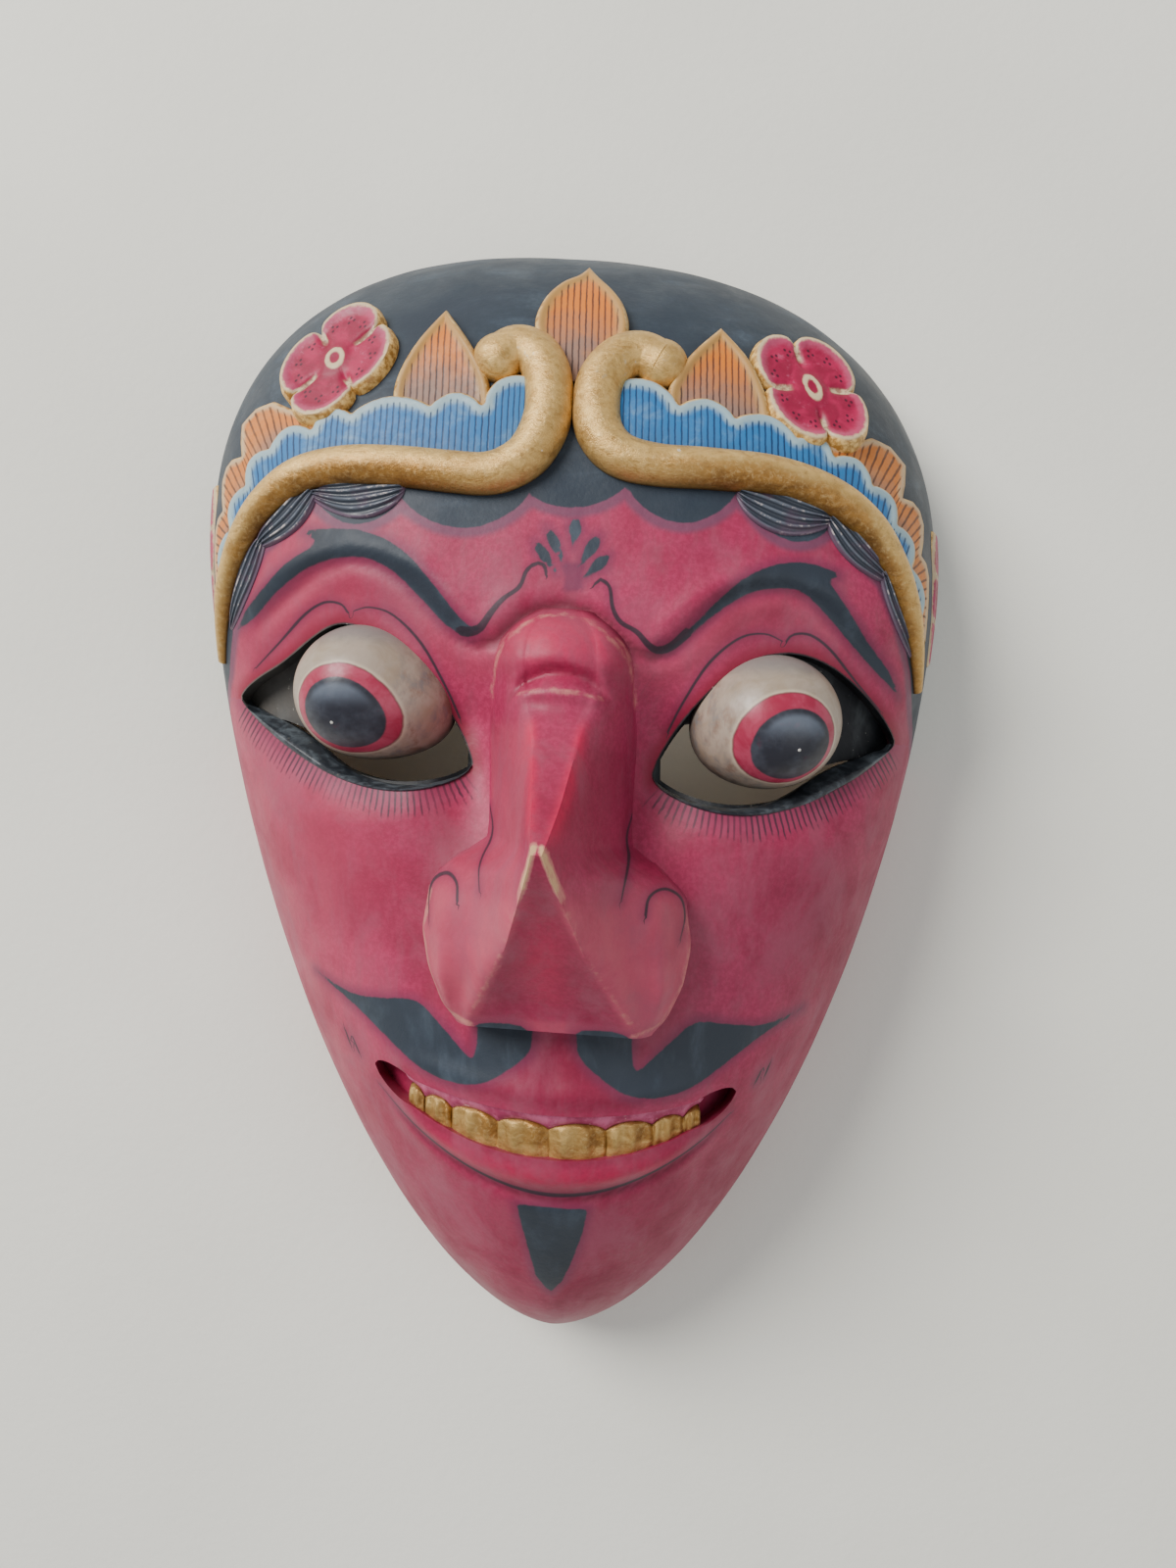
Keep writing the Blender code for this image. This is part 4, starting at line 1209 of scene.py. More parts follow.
def paint_face(piece):
    """Keeps on each point where it lies in the drawing and the carving."""
    x, y, height = to_steps(points_of(piece))
    side = np.abs(x)
    edge = hair_edge()
    near, _ = from_line(x, y, edge)
    hair = np.where(y > np.interp(x, edge[:, 0], edge[:, 1]), -near, near)
    share = np.linspace(0, 1, 60)
    lower = lid_line("lower", share, 1)
    almonds = [np.concatenate([lid_line("upper", share, way), lower[::-1]]) for way in (-1, 1)]
    lid = np.where(x < 0, *(from_shape(side, y, almond) for almond in almonds))
    lash_far, lash_along = from_line(side, y, lower)
    below = y < np.interp(side, lower[:, 0], lower[:, 1])
    out = np.where(below, lash_far, -1)
    store(piece, "paint", slate_distance(x, y), hair, lid)
    store(piece, "brow_petals", *brow_petal_distances(x, y))
    store(piece, "line", *drawn_lines(x, y, nose_lines() if piece.name == "nose" else face_lines()))
    worn, pink_highlight, shade, crease_shade, salmon = wear_and_painted_light(x, y, height)
    store(piece, "lash", lash_along, out, worn)
    # Painted light kept on the points: pink highlights, painted shade and painted crease shade.
    store(piece, "carving", pink_highlight, shade, crease_shade)
    corner = 0.4 * smooth_step((-x - 34) / 10) * smooth_step((y - 4) / 4)
    # Salmon paint with painted light, the forehead flower's foot, and the rubbed corner of the left
    # socket.
    store(piece, "tints_and_light", salmon, from_shape(x, y, BROW_FLOWER_FOOT), corner)


def most(*fields):
    """The greatest of several fields at each point."""
    return np.maximum.reduce(fields)


# Worn edges of the nose, in steps on one side of the face
TIP_EDGE = [(0.5, -9.6), (1.6, -13.0), (3.6, -19.0)]
FACET_EDGE = [(3.0, -17.5), (5.8, -25), (9, -31), (12, -36.5)]
WING_EDGE = [(19.4, -19), (20.6, -25), (19.4, -31), (16.6, -36.4), (12, -38.4)]


def worn_edges(x, y, on_nose, above, wing_edge):
    """Ridges of the nose and brows that are rubbed down to the wood."""
    side = np.abs(x)
    tip_edge = from_line(side, y, TIP_EDGE)[0]
    facet_edge = from_line(side, y, FACET_EDGE)[0]
    bump_side = soft_line(side - np.interp(y, [8, 14, 20, 24], [11.6, 11.2, 9.8, 6.0]), 0.9)
    return most(
        1.05 * soft_line(tip_edge, 0.8 - 0.3 * (x > 0)) * smooth_step((y + 20) / 6) * on_nose,
        0.40 * soft_line(facet_edge, 1.0) * on_nose,
        (0.62 - 0.16 * (x > 0)) * soft_line(wing_edge, 0.8),
        0.42 * soft_line(above + 2.0, 0.9) * smooth_step((17 - side) / 8),
        0.46 * soft_line(y - root_lip(x), 0.8) * smooth_step((8 - side) / 2),
        0.45 * bump_side * smooth_step((y - 9) / 3) * smooth_step((24 - y) / 3))


def facet_middle(x, y):
    """The middle of the facet under the nose's tip, where a painted highlight lies."""
    return hill(x, y, (-0.5, -27), (3.2, 9))


def pink_strokes_and_highlights(x, y, on_nose):
    """Hot pink strokes and painted highlights on the blade, the lower lip, the tip's facet and the root.
    """
    side = np.abs(x)
    streak = side - np.interp(y, [-10, -4, 8], [1.2, 2.3, 4.0])
    lip_inner = y - mouth_line(x, "lower")
    return most(
        0.9 * soft_line(streak, 0.9) * smooth_step((y + 11) / 4) * smooth_step((9 - y) / 3),
        0.6 * soft_line(lip_inner + 3.4, 1.6) * smooth_step((27 - side) / 14),
        0.5 * facet_middle(x, y) * on_nose,
        0.6 * hill(side, y, (3, 20), (5, 4)))


def painted_shade(x, y, on_nose, facet, wing_edge):
    """Painted shade: crimson in the hollows, round the nose, on its right plane and below the cheeks."""
    side = np.abs(x)
    right_plane = smooth_step((x - 2.5) / 2.5) * smooth_step((13 - x) / 3) * smooth_step((y + 14) / 6)
    return most(
        0.5 * facet * (1 - 0.4 * facet_middle(x, y)),
        0.5 * smooth_step((-42 - y) / 30),
        0.3 * on_nose * smooth_step((y + 16) / 10),
        0.55 * soft_line(wing_edge, 6.0) * ~on_nose,
        0.7 * smooth_step((-39 - y) / 3) * smooth_step((y + 53) / 3) * (side < 14),
        0.45 * hill(side, y, (34, 24), (16, 5)),
        0.6 * hill(x, y, (40, -20), (20, 16)) + 0.35 * hill(x, y, (-36, -22), (16, 10)),
        0.8 * soft_line(y - mouth_line(x, "lower") + 0.6, 1.1) * (side < 30),
        0.75 * soft_line(y - root_fold(x), 1.1) * (side < 8),
        0.5 * right_plane * smooth_step((8 - y) / 5))


def painted_crease_shade(x, y, above):
    """Painted shade in the cut line under the brows and in the crease below the lip."""
    side = np.abs(x)
    brow_cut = soft_line(above, 0.85) * (0.3 + 0.6 * smooth_step((19 - side) / 4))
    under_lip = soft_line(y - mouth_line(x, "under") + 0.6, 0.5)
    return most(brow_cut * smooth_step((56 - side) / 8), 0.7 * under_lip * smooth_step((29 - side) / 6))


def salmon_and_painted_light(x, y, on_nose, facet, above):
    """Dusty salmon on the wings and along the brows, and painted light on the nose's left plane and the
    left temple.
    """
    wings = on_nose * smooth_step((-14 - y) / 6) * (1 - facet)
    left_plane = on_nose * smooth_step((-2.5 - x) / 2) * smooth_step((9 - y) / 4) * (1 - facet)
    return most(
        0.9 * wings * smooth_step((y + 40) / 2),
        0.55 * left_plane,
        0.9 * on_nose * soft_line(y + 38.2, 1.1),
        0.5 * smooth_step((-x - 20) / 24),
        0.4 * soft_line(above + 3.0, 2.4) * smooth_step((50 - np.abs(x)) / 10))


def wear_and_painted_light(x, y, height):
    """Worn ridges, pink strokes with painted highlights, painted shade, painted crease shade, and salmon
    paint with painted light, each 0 to 1.
    """
    side = np.abs(x)
    on_nose = height > face_height(x, y) + 1.0
    above = over_crease(side, y)
    wing_edge = from_line(side, y, WING_EDGE)[0]
    facet = smooth_step((np.interp(y, [-38, -12], [12.5, 0.5]) - side) / 1.8) * (y < -12)
    facet = facet * smooth_step((y + 37.6) / 1.6)
    return (worn_edges(x, y, on_nose, above, wing_edge), pink_strokes_and_highlights(x, y, on_nose),
            painted_shade(x, y, on_nose, facet, wing_edge), painted_crease_shade(x, y, above),
            salmon_and_painted_light(x, y, on_nose, facet, above))


# Pieces

def domed_block(name, columns, rows, height, inset=0.0):
    """A dome on the rim's outline with a flat bottom, or the hollow inside it."""
    x, y = on_disc(columns, rows)
    share = 1 - inset / np.maximum(rim_reach(x, y), 1)
    level = height(x, y)
    places = to_metres(x * share, y * share, level, -inset)
    mesh = lattice(columns, rows, places.reshape(-1, 3))
    edges = [edge for edge in mesh.edges if edge.is_boundary]
    bmesh.ops.contextual_create(mesh, geom=edges)
    return finish_mesh(mesh, name)


def hollow_height(x, y):
    """The hollow's roof: the broad face without its nose, thicker behind the eyes."""
    thicker = EYE_WALL - WALL
    return broad_face(x, y) - thicker * hill(np.abs(x), y, (33, 10), (26, 20))


def eye_recess(side):
    """Cutter for the almond eye opening, down to the floor that carries the eyeball."""
    share = np.linspace(0, 1, 61)
    x, y = between(lid_line("lower", share, side), lid_line("upper", share, side), 7)
    return relief("eye_recess", side * x, y, 12, EYE_RECESS, broad_face)


SLOT_HEIGHT = 4.2


def eye_slot(side):
    """Cutter for the slot to look through, under the eyeball and beside the nose."""
    share = np.linspace(0.03, 0.855, 53)
    lower = lid_line("lower", share, side) + (0, 1.3)
    open_height = SLOT_HEIGHT + 8 * soft_line(share - 0.16, 0.14)
    open_height = open_height * np.sqrt(np.clip((0.86 - share) / 0.3, 0.004, 1))
    upper = lower + np.stack([0 * share, open_height], -1)
    upper[:, 1] = np.minimum(upper[:, 1], lid_line("upper", share, side)[:, 1] - 0.8)
    x, y = between(lower, upper, 5)
    return relief("eye_slot", side * x, y, 9, 2.2 * EYE_WALL, broad_face)


def mouth_cutter():
    """Cutter for the open mouth behind the upper lip, deepest in its corners."""
    x = np.linspace(-MOUTH_HALF, MOUTH_HALF, 97)
    middle = (mouth_line(x, "lower") + mouth_line(x, "upper")) / 2
    corner = smooth_step((np.abs(x) - 22) / 4)
    half = (mouth_line(x, "upper") - mouth_line(x, "lower")) / 2 + 0.15 + 0.8 * corner
    half = half * np.sqrt(np.clip(1 - (np.clip(np.abs(x) - 27, 0, 3) / 3.02) ** 2, 0.002, 1))
    x, y = between(np.stack([x, middle - half], -1), np.stack([x, middle + half], -1), 8)
    deep = MOUTH_DEPTH * (1 + 0.55 * smooth_step((np.abs(x) - 21) / 5))
    level = face_height(x, y)
    return slab("mouth", to_metres(x, y, level, 6), to_metres(x, y, level - deep))


def cut_away(target, tool):
    """Cuts one tool's shape out of the piece."""
    modifier = target.modifiers.new(tool.name, "BOOLEAN")
    modifier.operation = "DIFFERENCE"
    modifier.solver = "MANIFOLD"
    modifier.object = tool
    graph = bpy.context.evaluated_depsgraph_get()
    data = bpy.data.meshes.new_from_object(target.evaluated_get(graph))
    old = target.data
    target.modifiers.remove(modifier)
    target.data = data
    bpy.data.meshes.remove(old)
    bpy.data.objects.remove(tool, do_unlink=True)


def make_skin():
    """The carved face as one block: hollow behind, with its eye and mouth openings."""
    skin = domed_block("carved_face", SKIN_COLUMNS, SKIN_ROWS, face_height)
    skin.data.set_sharp_from_angle(angle=math.radians(80))
    cut_away(skin, domed_block("hollow", HOLLOW_COLUMNS, HOLLOW_ROWS, hollow_height, WALL))
    for side in (-1, 1):
        cut_away(skin, eye_recess(side))
        cut_away(skin, eye_slot(side))
    cut_away(skin, mouth_cutter())
    skin.data.set_sharp_from_angle(angle=math.radians(58))
    return skin


def clothe(piece, *finishes):
    """Gives a piece its finishes."""
    piece.data.materials.clear()
    for finish in finishes:
        piece.data.materials.append(finish)
    return piece


def bare_back(piece):
    """Gives the hollow and the rim the second finish, bare wood."""
    x, y, height = to_steps(points_of(piece))
    roof = broad_face(x, y)
    inner = np.hypot(x, y) < rim_reach(x, y) - 0.5
    hidden = (height < 0.05) | ((height < roof - EYE_RECESS - 0.6) & inner & (height < 46))
    for face in piece.data.polygons:
        if all(hidden[number] for number in face.vertices):
            face.material_index = 1


def make_nose():
    """The long nose, rooted in the face."""
    x, y, height = nose_places()
    floor = broad_face(x, y) - SINK
    return slab("nose", to_metres(x, y, height), to_metres(x, y, np.minimum(floor, height - 0.5)), 50)


BAND_PATHS = {
    -1: [(12.0, 67.2), (9.0, 69.2), (5.7, 68.0), (3.8, 63.9), (3.7, 57.0), (6.0, 51.2), (9.4, 48.2),
         (13.4, 46.9), (19.3, 47.0), (28.1, 47.6), (37.1, 47.6), (44.8, 45.9), (51.4, 41.5), (55.7, 36.0),
         (58.9, 29.6), (60.9, 23.2), (62.2, 16.5)],
    1: [(14.6, 68.0), (11.3, 69.5), (7.8, 68.4), (4.9, 64.4), (4.1, 59.7), (4.9, 54.8), (8.2, 51.3),
        (14.2, 50.2), (22.9, 50.3), (33.4, 50.2), (42.1, 48.3), (49.6, 44.2), (54.3, 38.6), (57.4, 32.8),
        (59.9, 26.4), (61.8, 19.5)]}
BAND_SIDES = 28
BAND_SHARES = [0, 0.2, 0.34, 0.66, 0.88, 1]
BAND_WIDTHS = [1.08, 1.06, 0.92, 0.86, 0.62, 0.3]


def tube(name, places, radii, around):
    """A round tube through the places, with domed ends."""
    mesh = bmesh.new()
    rings = []
    up = Vector((0, 0, 1))
    for number, (place, radius) in enumerate(zip(places, radii)):
        ahead = Vector(places[min(number + 1, len(places) - 1)]) - Vector(places[max(number - 1, 0)])
        ahead.normalize()
        across = ahead.cross(up).normalized()
        turned = Matrix((across, across.cross(ahead) * -1, ahead)).transposed().to_4x4()
        ring = bmesh.ops.create_circle(mesh, segments=around, radius=radius,
                                       matrix=Matrix.Translation(Vector(place)) @ turned)
        rings.append(ring["verts"])
    for first, second in zip(rings[:-1], rings[1:]):
        for number in range(around):
            after = (number + 1) % around
            mesh.faces.new((first[number], first[after], second[after], second[number]))
    for ring in (rings[0], rings[-1]):
        bmesh.ops.contextual_create(mesh, geom=ring)
    return finish_mesh(mesh, name)


def make_band(side, name):
    """A gilt roll from its curl over the brow to the ear, and the bulb that ends the curl."""
    path = walked(smooth_path(BAND_PATHS[side], 8), 170)
    share = np.linspace(0, 1, len(path))
    radii = BAND_RADIUS * np.interp(share, BAND_SHARES, BAND_WIDTHS)
    level = face_height(path[:, 0], path[:, 1])
    places = to_metres(side * path[:, 0], path[:, 1], level, 0.2 * radii)
    band = tube(name, places, radii * STEP, BAND_SIDES)
    x, y = BAND_PATHS[side][0]
    middle = Vector(to_metres(side * x, y, face_height(x, y), 0.2))
    bulb = bmesh.new()
    bmesh.ops.create_uvsphere(bulb, u_segments=32, v_segments=20, radius=1.2 * BAND_RADIUS * STEP)
    bmesh.ops.translate(bulb, verts=bulb.verts, vec=middle)
    bulb.from_mesh(band.data)
    bulb.to_mesh(band.data)
    bulb.free()
    band.data.shade_smooth()
    band.data.set_sharp_from_angle(angle=math.radians(60))
    x, y, height = to_steps(points_of(band))
    rise = (height - face_height(x, y)) / BAND_RADIUS
    _, signed, along = across_line(np.abs(x), y, path)
    store(band, "roll", rise, -signed / BAND_RADIUS, along)
    return band


LAPPET_CUSPS = {
    -1: [(6.6, 64.4), (14.3, 58.9), (22.8, 58.4), (36.0, 57.0), (43.0, 54.6), (51.0, 51.8), (55.8, 45.8),
         (59.2, 38.6), (61.6, 30.0)],
    1: [(7.4, 64.6), (17.6, 61.1), (26.7, 59.8), (37.0, 57.8), (43.5, 55.6), (50.6, 52.0), (55.4, 46.2),
        (58.8, 39.5), (61.4, 31.0)]}
TEMPLE_EDGE = [(43.6, 57.6), (47.5, 58.8), (51.5, 61.0), (55.6, 60.6), (59.0, 58.2), (58.4, 54.4),
               (57.6, 51.6), (60.0, 51.8), (61.9, 50.8), (62.9, 48.4), (62.6, 45.2), (61.9, 42.6),
               (63.4, 41.8), (64.4, 39.6), (64.5, 35.0), (64.2, 28.0)]


def rounded_edge(edge, full, width=0.8):
    """Rise of a relief near its outline: a quarter round up to its full height."""
    share = np.clip(edge / width, 0, 1)
    return full * np.sqrt(1 - (1 - share) ** 2)


def ruled(inner, outer, columns, turning=44):
    """Two edges paired point to point: straight up over the brow, then fanning round the temple."""
    inner = walked(inner, columns)
    front = inner[:, 0] < turning
    beyond = walked(outer[np.argmax(outer[:, 0] >= turning):], columns - front.sum() + 1)[1:]
    ahead = outer[:np.argmax(outer[:, 0] >= turning) + 1]
    start = np.stack([inner[front, 0], np.interp(inner[front, 0], ahead[:, 0], ahead[:, 1])], -1)
    return inner, np.concatenate([start, beyond])


def make_strip(name, side, inner, outer, full, turning=44):
    """A scalloped painted border that follows the band."""
    inner, facing = ruled(inner, outer, 240, turning)
    rows = (1 - (1 - np.linspace(0, 1, 15)) ** 1.7)[:, None, None]
    places = inner + (facing - inner) * rows
    x = places[..., 0]
    y = places[..., 1]
    edge, _ = from_line(x, y, outer)
    rise = rounded_edge(edge, full) + 0.3 * soft_line(edge - 0.9, 0.6) - 0.15
    piece = relief(name, side * x, y, rise)
    steps = np.concatenate([[0], np.cumsum(np.hypot(*np.diff(inner, axis=0).T))])
    store_sheet(piece, "drawing", edge, steps[None, :], rows[..., 0])
    return piece


def make_lappets(side, name):
    """The blue scalloped border that stands behind the gold band."""
    path = smooth_path(BAND_PATHS[side], 8)
    return make_strip(name, side, path[5 * 8:-8], scalloped(LAPPET_CUSPS[side], 2.3), 1.7)


def make_temple_border(side, name):
    """The second row of scallops outside the lappets, at the temple."""
    inner = smooth_path(LAPPET_CUSPS[side][4:], 8) - (1.5, 1.5)
    return make_strip(name, side, inner, np.array(TEMPLE_EDGE) - (0.6 * (side > 0), 0), 1.1, 43)


LEAVES = {
    "crown": ([(-2.5, 64.0), (-5.6, 70.6), (-6.5, 75.4), (-5.0, 80.2), (-2.2, 84.0), (0.6, 86.2),
               (2.4, 89.2)],
              [(5.0, 64.0), (8.2, 70.2), (9.3, 75.0), (8.6, 79.2), (6.8, 82.6), (4.2, 86.0),
               (2.4, 89.2)]),
    "left": ([(-29.0, 56.4), (-29.2, 61.7), (-27.8, 66.2), (-25.0, 71.2), (-21.3, 76.8)],
             [(-12.6, 56.4), (-13.2, 62.2), (-14.8, 66.4), (-17.2, 70.6), (-21.3, 76.8)]),
    "right": ([(15.4, 57.4), (15.6, 63.4), (17.4, 67.4), (20.0, 71.2), (24.6, 76.6)],
              [(33.0, 57.4), (32.4, 63.0), (30.8, 67.6), (28.6, 71.6), (24.6, 76.6)])}
LEAF_POINTS = 64


def make_leaf(name, word):
    """A pointed leaf whose foot is tucked behind the lappets, with a rounded edge and drawn lines."""
    last = LEAF_POINTS - 1
    left, right = (walked(smooth_path(side, 6), LEAF_POINTS) for side in LEAVES[word])
    along = (1 - (1 - np.linspace(0, 1, 54)) ** 1.2) * last
    whole = np.arange(LEAF_POINTS)
    left, right = (np.stack([np.interp(along, whole, side[:, axis]) for axis in (0, 1)], -1)
                   for side in (left, right))
    right = right - (0.02, 0) * (along[:, None] > last - 1)
    reach = (0.5 + 0.5 * np.sin(np.linspace(-1, 1, 49) * math.pi / 2))[None, :, None]
    places = left[:, None, :] + (right - left)[:, None, :] * reach
    x = places[..., 0]
    y = places[..., 1]
    outline = np.concatenate([left, right[::-1]])
    edge = np.abs(from_line(x, y, outline)[0])
    up = along[:, None] / last + 0 * x
    full = 0.9 + 2.3 * smooth_step((up - 0.12) / 0.6)
    rise = rounded_edge(edge, full, 0.7) + 0.35 * soft_line(edge - 1.0, 0.6) - 0.3 * smooth_step(edge / 4)
    piece = relief(name, x, y, rise, SINK + 1)
    store_sheet(piece, "drawing", edge, x, up)
    return piece


FLOWER_RADIUS = 9.8
FLOWER_RISE = 2.4
FLOWER_PLACE = (39.8, 67.0)
FLOWER_TURN = {-1: 0.67, 1: 0.175}
FLOWER_LONG = math.radians(63)
FLOWER_SIDES = 144
FLOWER_RINGS = 16
FLOWER_FOOT = -8.0
FLOWER_STRETCH = (1.3, 0.99, 1.0)


def petal_fields(radius, turn):
    """Reach of the four lobes in each direction, and distance from the gaps between them."""
    lobe = 0.74 + 0.26 * np.abs(np.sin(2 * turn)) ** 0.5
    return FLOWER_RADIUS * lobe, radius * np.abs(np.sin(2 * turn)) / 2


def petal_rise(radius, edge, gap):
    """Carving of the petals: gaps, a raised rim that rounds off, and a ring about the middle."""
    gaps = soft_line(gap, 0.6) * smooth_step((radius - 2.5) / 2)
    rim = 0.5 * soft_line(edge - 0.9, 0.9) - 1.3 * (1 - smooth_step(edge / 0.7)) ** 2
    return rim - 0.7 * gaps + 0.5 * soft_line(radius - 1.35, 0.7)


def by_turn(vertex):
    """Direction of a point about the origin, to sort a ring by."""
    return math.atan2(vertex.co.y, vertex.co.x) % (2 * math.pi)


def petal_disc(name):
    """The flower lying flat about the origin, in steps: a ring drawn in to the middle, row by row."""
    turn = np.linspace(0, 2 * math.pi, FLOWER_SIDES + 1)
    reach, _ = petal_fields(0, turn)
    radius = reach * np.linspace(0.0, 1, FLOWER_RINGS)[:, None] ** 0.8
    level = petal_rise(radius, reach - radius, petal_fields(radius, turn)[1])
    x = radius * np.cos(turn)
    y = radius * np.sin(turn)
    mesh = bmesh.new()
    bmesh.ops.create_circle(mesh, segments=FLOWER_SIDES, radius=1)
    ring = mesh.edges[:]
    layers = [sorted(mesh.verts, key=by_turn)]
    for _ in range(FLOWER_RINGS):
        made = bmesh.ops.extrude_edge_only(mesh, edges=ring)
        fresh = [item for item in made["geom"] if isinstance(item, bmesh.types.BMVert)]
        ring = [item for item in made["geom"]
                if isinstance(item, bmesh.types.BMEdge) and item.is_boundary]
        layers.append(sorted(fresh, key=by_turn))
    places = [(x[-1], y[-1], np.full(FLOWER_SIDES + 1, FLOWER_FOOT))]
    places += [(x[row], y[row], level[row]) for row in range(FLOWER_RINGS - 1, -1, -1)]
    for layer, (ring_x, ring_y, ring_z) in zip(layers, places):
        for number, vertex in enumerate(layer):
            vertex.co = (ring_x[number], ring_y[number], ring_z[number])
    bmesh.ops.remove_doubles(mesh, verts=layers[-1], dist=0.001)
    bmesh.ops.contextual_create(mesh, geom=layers[0])
    return finish_mesh(mesh, name, 60)


def make_flower(side, name):
    """A four-lobed flower: a nearly level disc that stands out of the curve of the head."""
    piece = petal_disc(name)
    flat = points_of(piece)
    radius = np.hypot(flat[:, 0], flat[:, 1])
    turn = np.arctan2(flat[:, 1], flat[:, 0])
    reach, gap = petal_fields(radius, turn)
    ring = np.hypot(flat[:, 0], 0.72 * flat[:, 1])
    store(piece, "drawing", reach - radius, gap, ring)
    in_lobe = (turn % (math.pi / 2)) - math.pi / 4
    store(piece, "lobe", radius * np.cos(in_lobe), radius * np.sin(in_lobe), 0 * radius)
    tilt = Vector((0, 0, 1)).rotation_difference(Vector((side * 0.26, 0.42, 1))).to_matrix()
    aside = Matrix.Rotation(FLOWER_LONG if side < 0 else math.pi - FLOWER_LONG, 3, "Z")
    stretch = aside @ Matrix.Diagonal(FLOWER_STRETCH) @ aside.transposed()
    turned = stretch @ Matrix.Rotation(FLOWER_TURN[side], 3, "Z")
    x, y = FLOWER_PLACE
    middle = Vector(to_metres(side * x, y, face_height(x, y), FLOWER_RISE))
    for vertex in piece.data.vertices:
        vertex.co = (tilt @ (turned @ vertex.co)) * STEP + middle
    return piece


LOCKS = {
    -1: [((26.2, 44.6), (42.8, 43.6), 4.8), ((41.8, 44.4), (52.8, 34.8), 3.2),
         ((51.2, 36.6), (59.2, 21.5), 1.7)],
    1: [((26.8, 47.6), (43.2, 44.6), 5.0), ((42.2, 45.4), (53.8, 36.2), 3.2),
        ((52.2, 38.2), (60.0, 24.5), 1.7)]}


def make_lock(number, side, name):
    """A crescent lock under the band, combed into ridges."""
    start, end, belly = LOCKS[side][number]
    start = np.array(start)
    way = np.array(end) - start
    across = np.array([way[1], -way[0]]) / np.hypot(*way)
    share = np.linspace(0, 1, 72)[:, None]
    arch = np.sin(math.pi * share ** 0.85)
    upper = start + way * share - across * 2.6 * np.clip(arch, 0, 1) ** 0.6
    lower = start + way * share + across * (0.5 + belly * np.clip(arch, 0, 1) ** 0.7)
    rows = np.linspace(0, 1, 48)[:, None]
    x, y = between(upper, lower, len(rows))
    strand = rows + 0 * x
    count = 3.2 + 0.8 * belly / 2
    comb = 0.5 + 0.5 * np.cos(strand * 2 * math.pi * count + 0.9 * np.sin(share.T * 7 + number))
    comb = comb ** 1.4
    edge = np.abs(from_line(x, y, np.concatenate([upper, lower[::-1]]), closed=True)[0])
    rise = rounded_edge(edge, 0.7, 1.2) + 0.5 * comb * smooth_step(edge / 0.9)
    piece = relief(name, side * x, y, rise, SINK)
    store_sheet(piece, "comb", comb, share.T, edge)
    return piece


EYE_MIDDLE = (33.3, 12.4, 42.5)
EYE_RADIUS = 11.6
IRIS_ANGLE = 43.0
PUPIL_ANGLE = 33.0

# By side: the eye's shift, how far it is drawn out inward, and where its rings and dot look
EYE_SHIFT = {-1: (-0.3, -0.8), 1: (0.5, -1.2)}
EYE_LENGTH = {-1: 0.36, 1: 0.16}
IRIS_LOOK = {-1: (-0.19, -0.46), 1: (0.21, -0.41)}
PUPIL_LOOK = {-1: (-0.20, -0.50), 1: (0.28, -0.49)}
DOT_LOOK = {-1: (-0.33, -0.64), 1: (0.35, -0.52)}


def eye_middle(side):
    """Middle of the eyeball in metres."""
    shift_x, shift_y = EYE_SHIFT[side]
    return Vector(to_metres(side * (EYE_MIDDLE[0] + shift_x), EYE_MIDDLE[1] + shift_y, EYE_MIDDLE[2]))


def angle_from(directions, look):
    """Degrees between directions and the one that a ring is centred on."""
    look = np.array((*look, 1.0))
    return np.degrees(np.arccos(np.clip(directions @ (look / np.linalg.norm(look)), -1, 1)))


def make_eyeball(side, name):
    """A bulging eyeball, drawn out egg-like to the inner corner and carved in one with the upper lid."""
    mesh = bmesh.new()
    bmesh.ops.create_uvsphere(mesh, u_segments=112, v_segments=72, radius=EYE_RADIUS * STEP)
    directions = np.array([vertex.co.normalized() for vertex in mesh.verts])
    middle = eye_middle(side)
    inward = Vector((-side * 0.94, -0.34, 0))
    for vertex, toward in zip(mesh.verts, directions):
        reach = max(0.0, Vector(toward).dot(inward))
        if vertex.co.z < 0:
            vertex.co.z *= 0.55
        vertex.co.y *= 0.95
        vertex.co += inward * EYE_RADIUS * STEP * EYE_LENGTH[side] * reach ** 2
        vertex.co += middle
    piece = finish_mesh(mesh, name)
    lid = smooth_step((directions[:, 1] - 0.45) / 0.45)
    inner = smooth_step((directions @ np.array(inward) - 0.1) / 0.7)
    iris = angle_from(directions, IRIS_LOOK[side]) - IRIS_ANGLE
    pupil = angle_from(directions, PUPIL_LOOK[side]) - PUPIL_ANGLE
    store(piece, "gaze", iris, pupil, lid)
    store(piece, "inner", inner, directions[:, 1], directions[:, 2])
    return piece


def make_eye_rim(side, name):
    """The thick lower lid edge, slanting in to the slot, broadest towards the temple."""
    share = np.linspace(0.0, 1.0, 100)
    lower = lid_line("lower", share, side)
    width = 0.7 * np.sin(math.pi * share) ** 0.5 + 2.6 * soft_line(share - 0.72, 0.2)
    width = width * smooth_step((1 - share) / 0.08) + 0.15
    inner = lower + np.stack([0 * share, width], -1)
    rows = np.linspace(0, 1, 10)[:, None]
    x, y = between(lower - (0, 0.3), inner, len(rows))
    rise = 0.4 * np.sin(math.pi * np.clip(rows * 2.2, 0, 1)) - 3.4 * smooth_step((rows - 0.3) / 0.9)
    return relief(name, side * x, y, rise + 0 * x, 6.5, broad_face)


TEETH_EDGES = [-24.0, -21.0, -16.4, -8.8, -0.6, 8.4, 15.9, 21.0, 24.0]


def tooth_places(x):
    """The tooth at each place across the mouth, and the share of the way across it."""
    edges = np.array(TEETH_EDGES)
    number = np.clip(np.searchsorted(edges, x, side="right") - 1, 0, len(edges) - 2)
    return number, np.clip((x - edges[number]) / (edges[number + 1] - edges[number]), 0, 1)


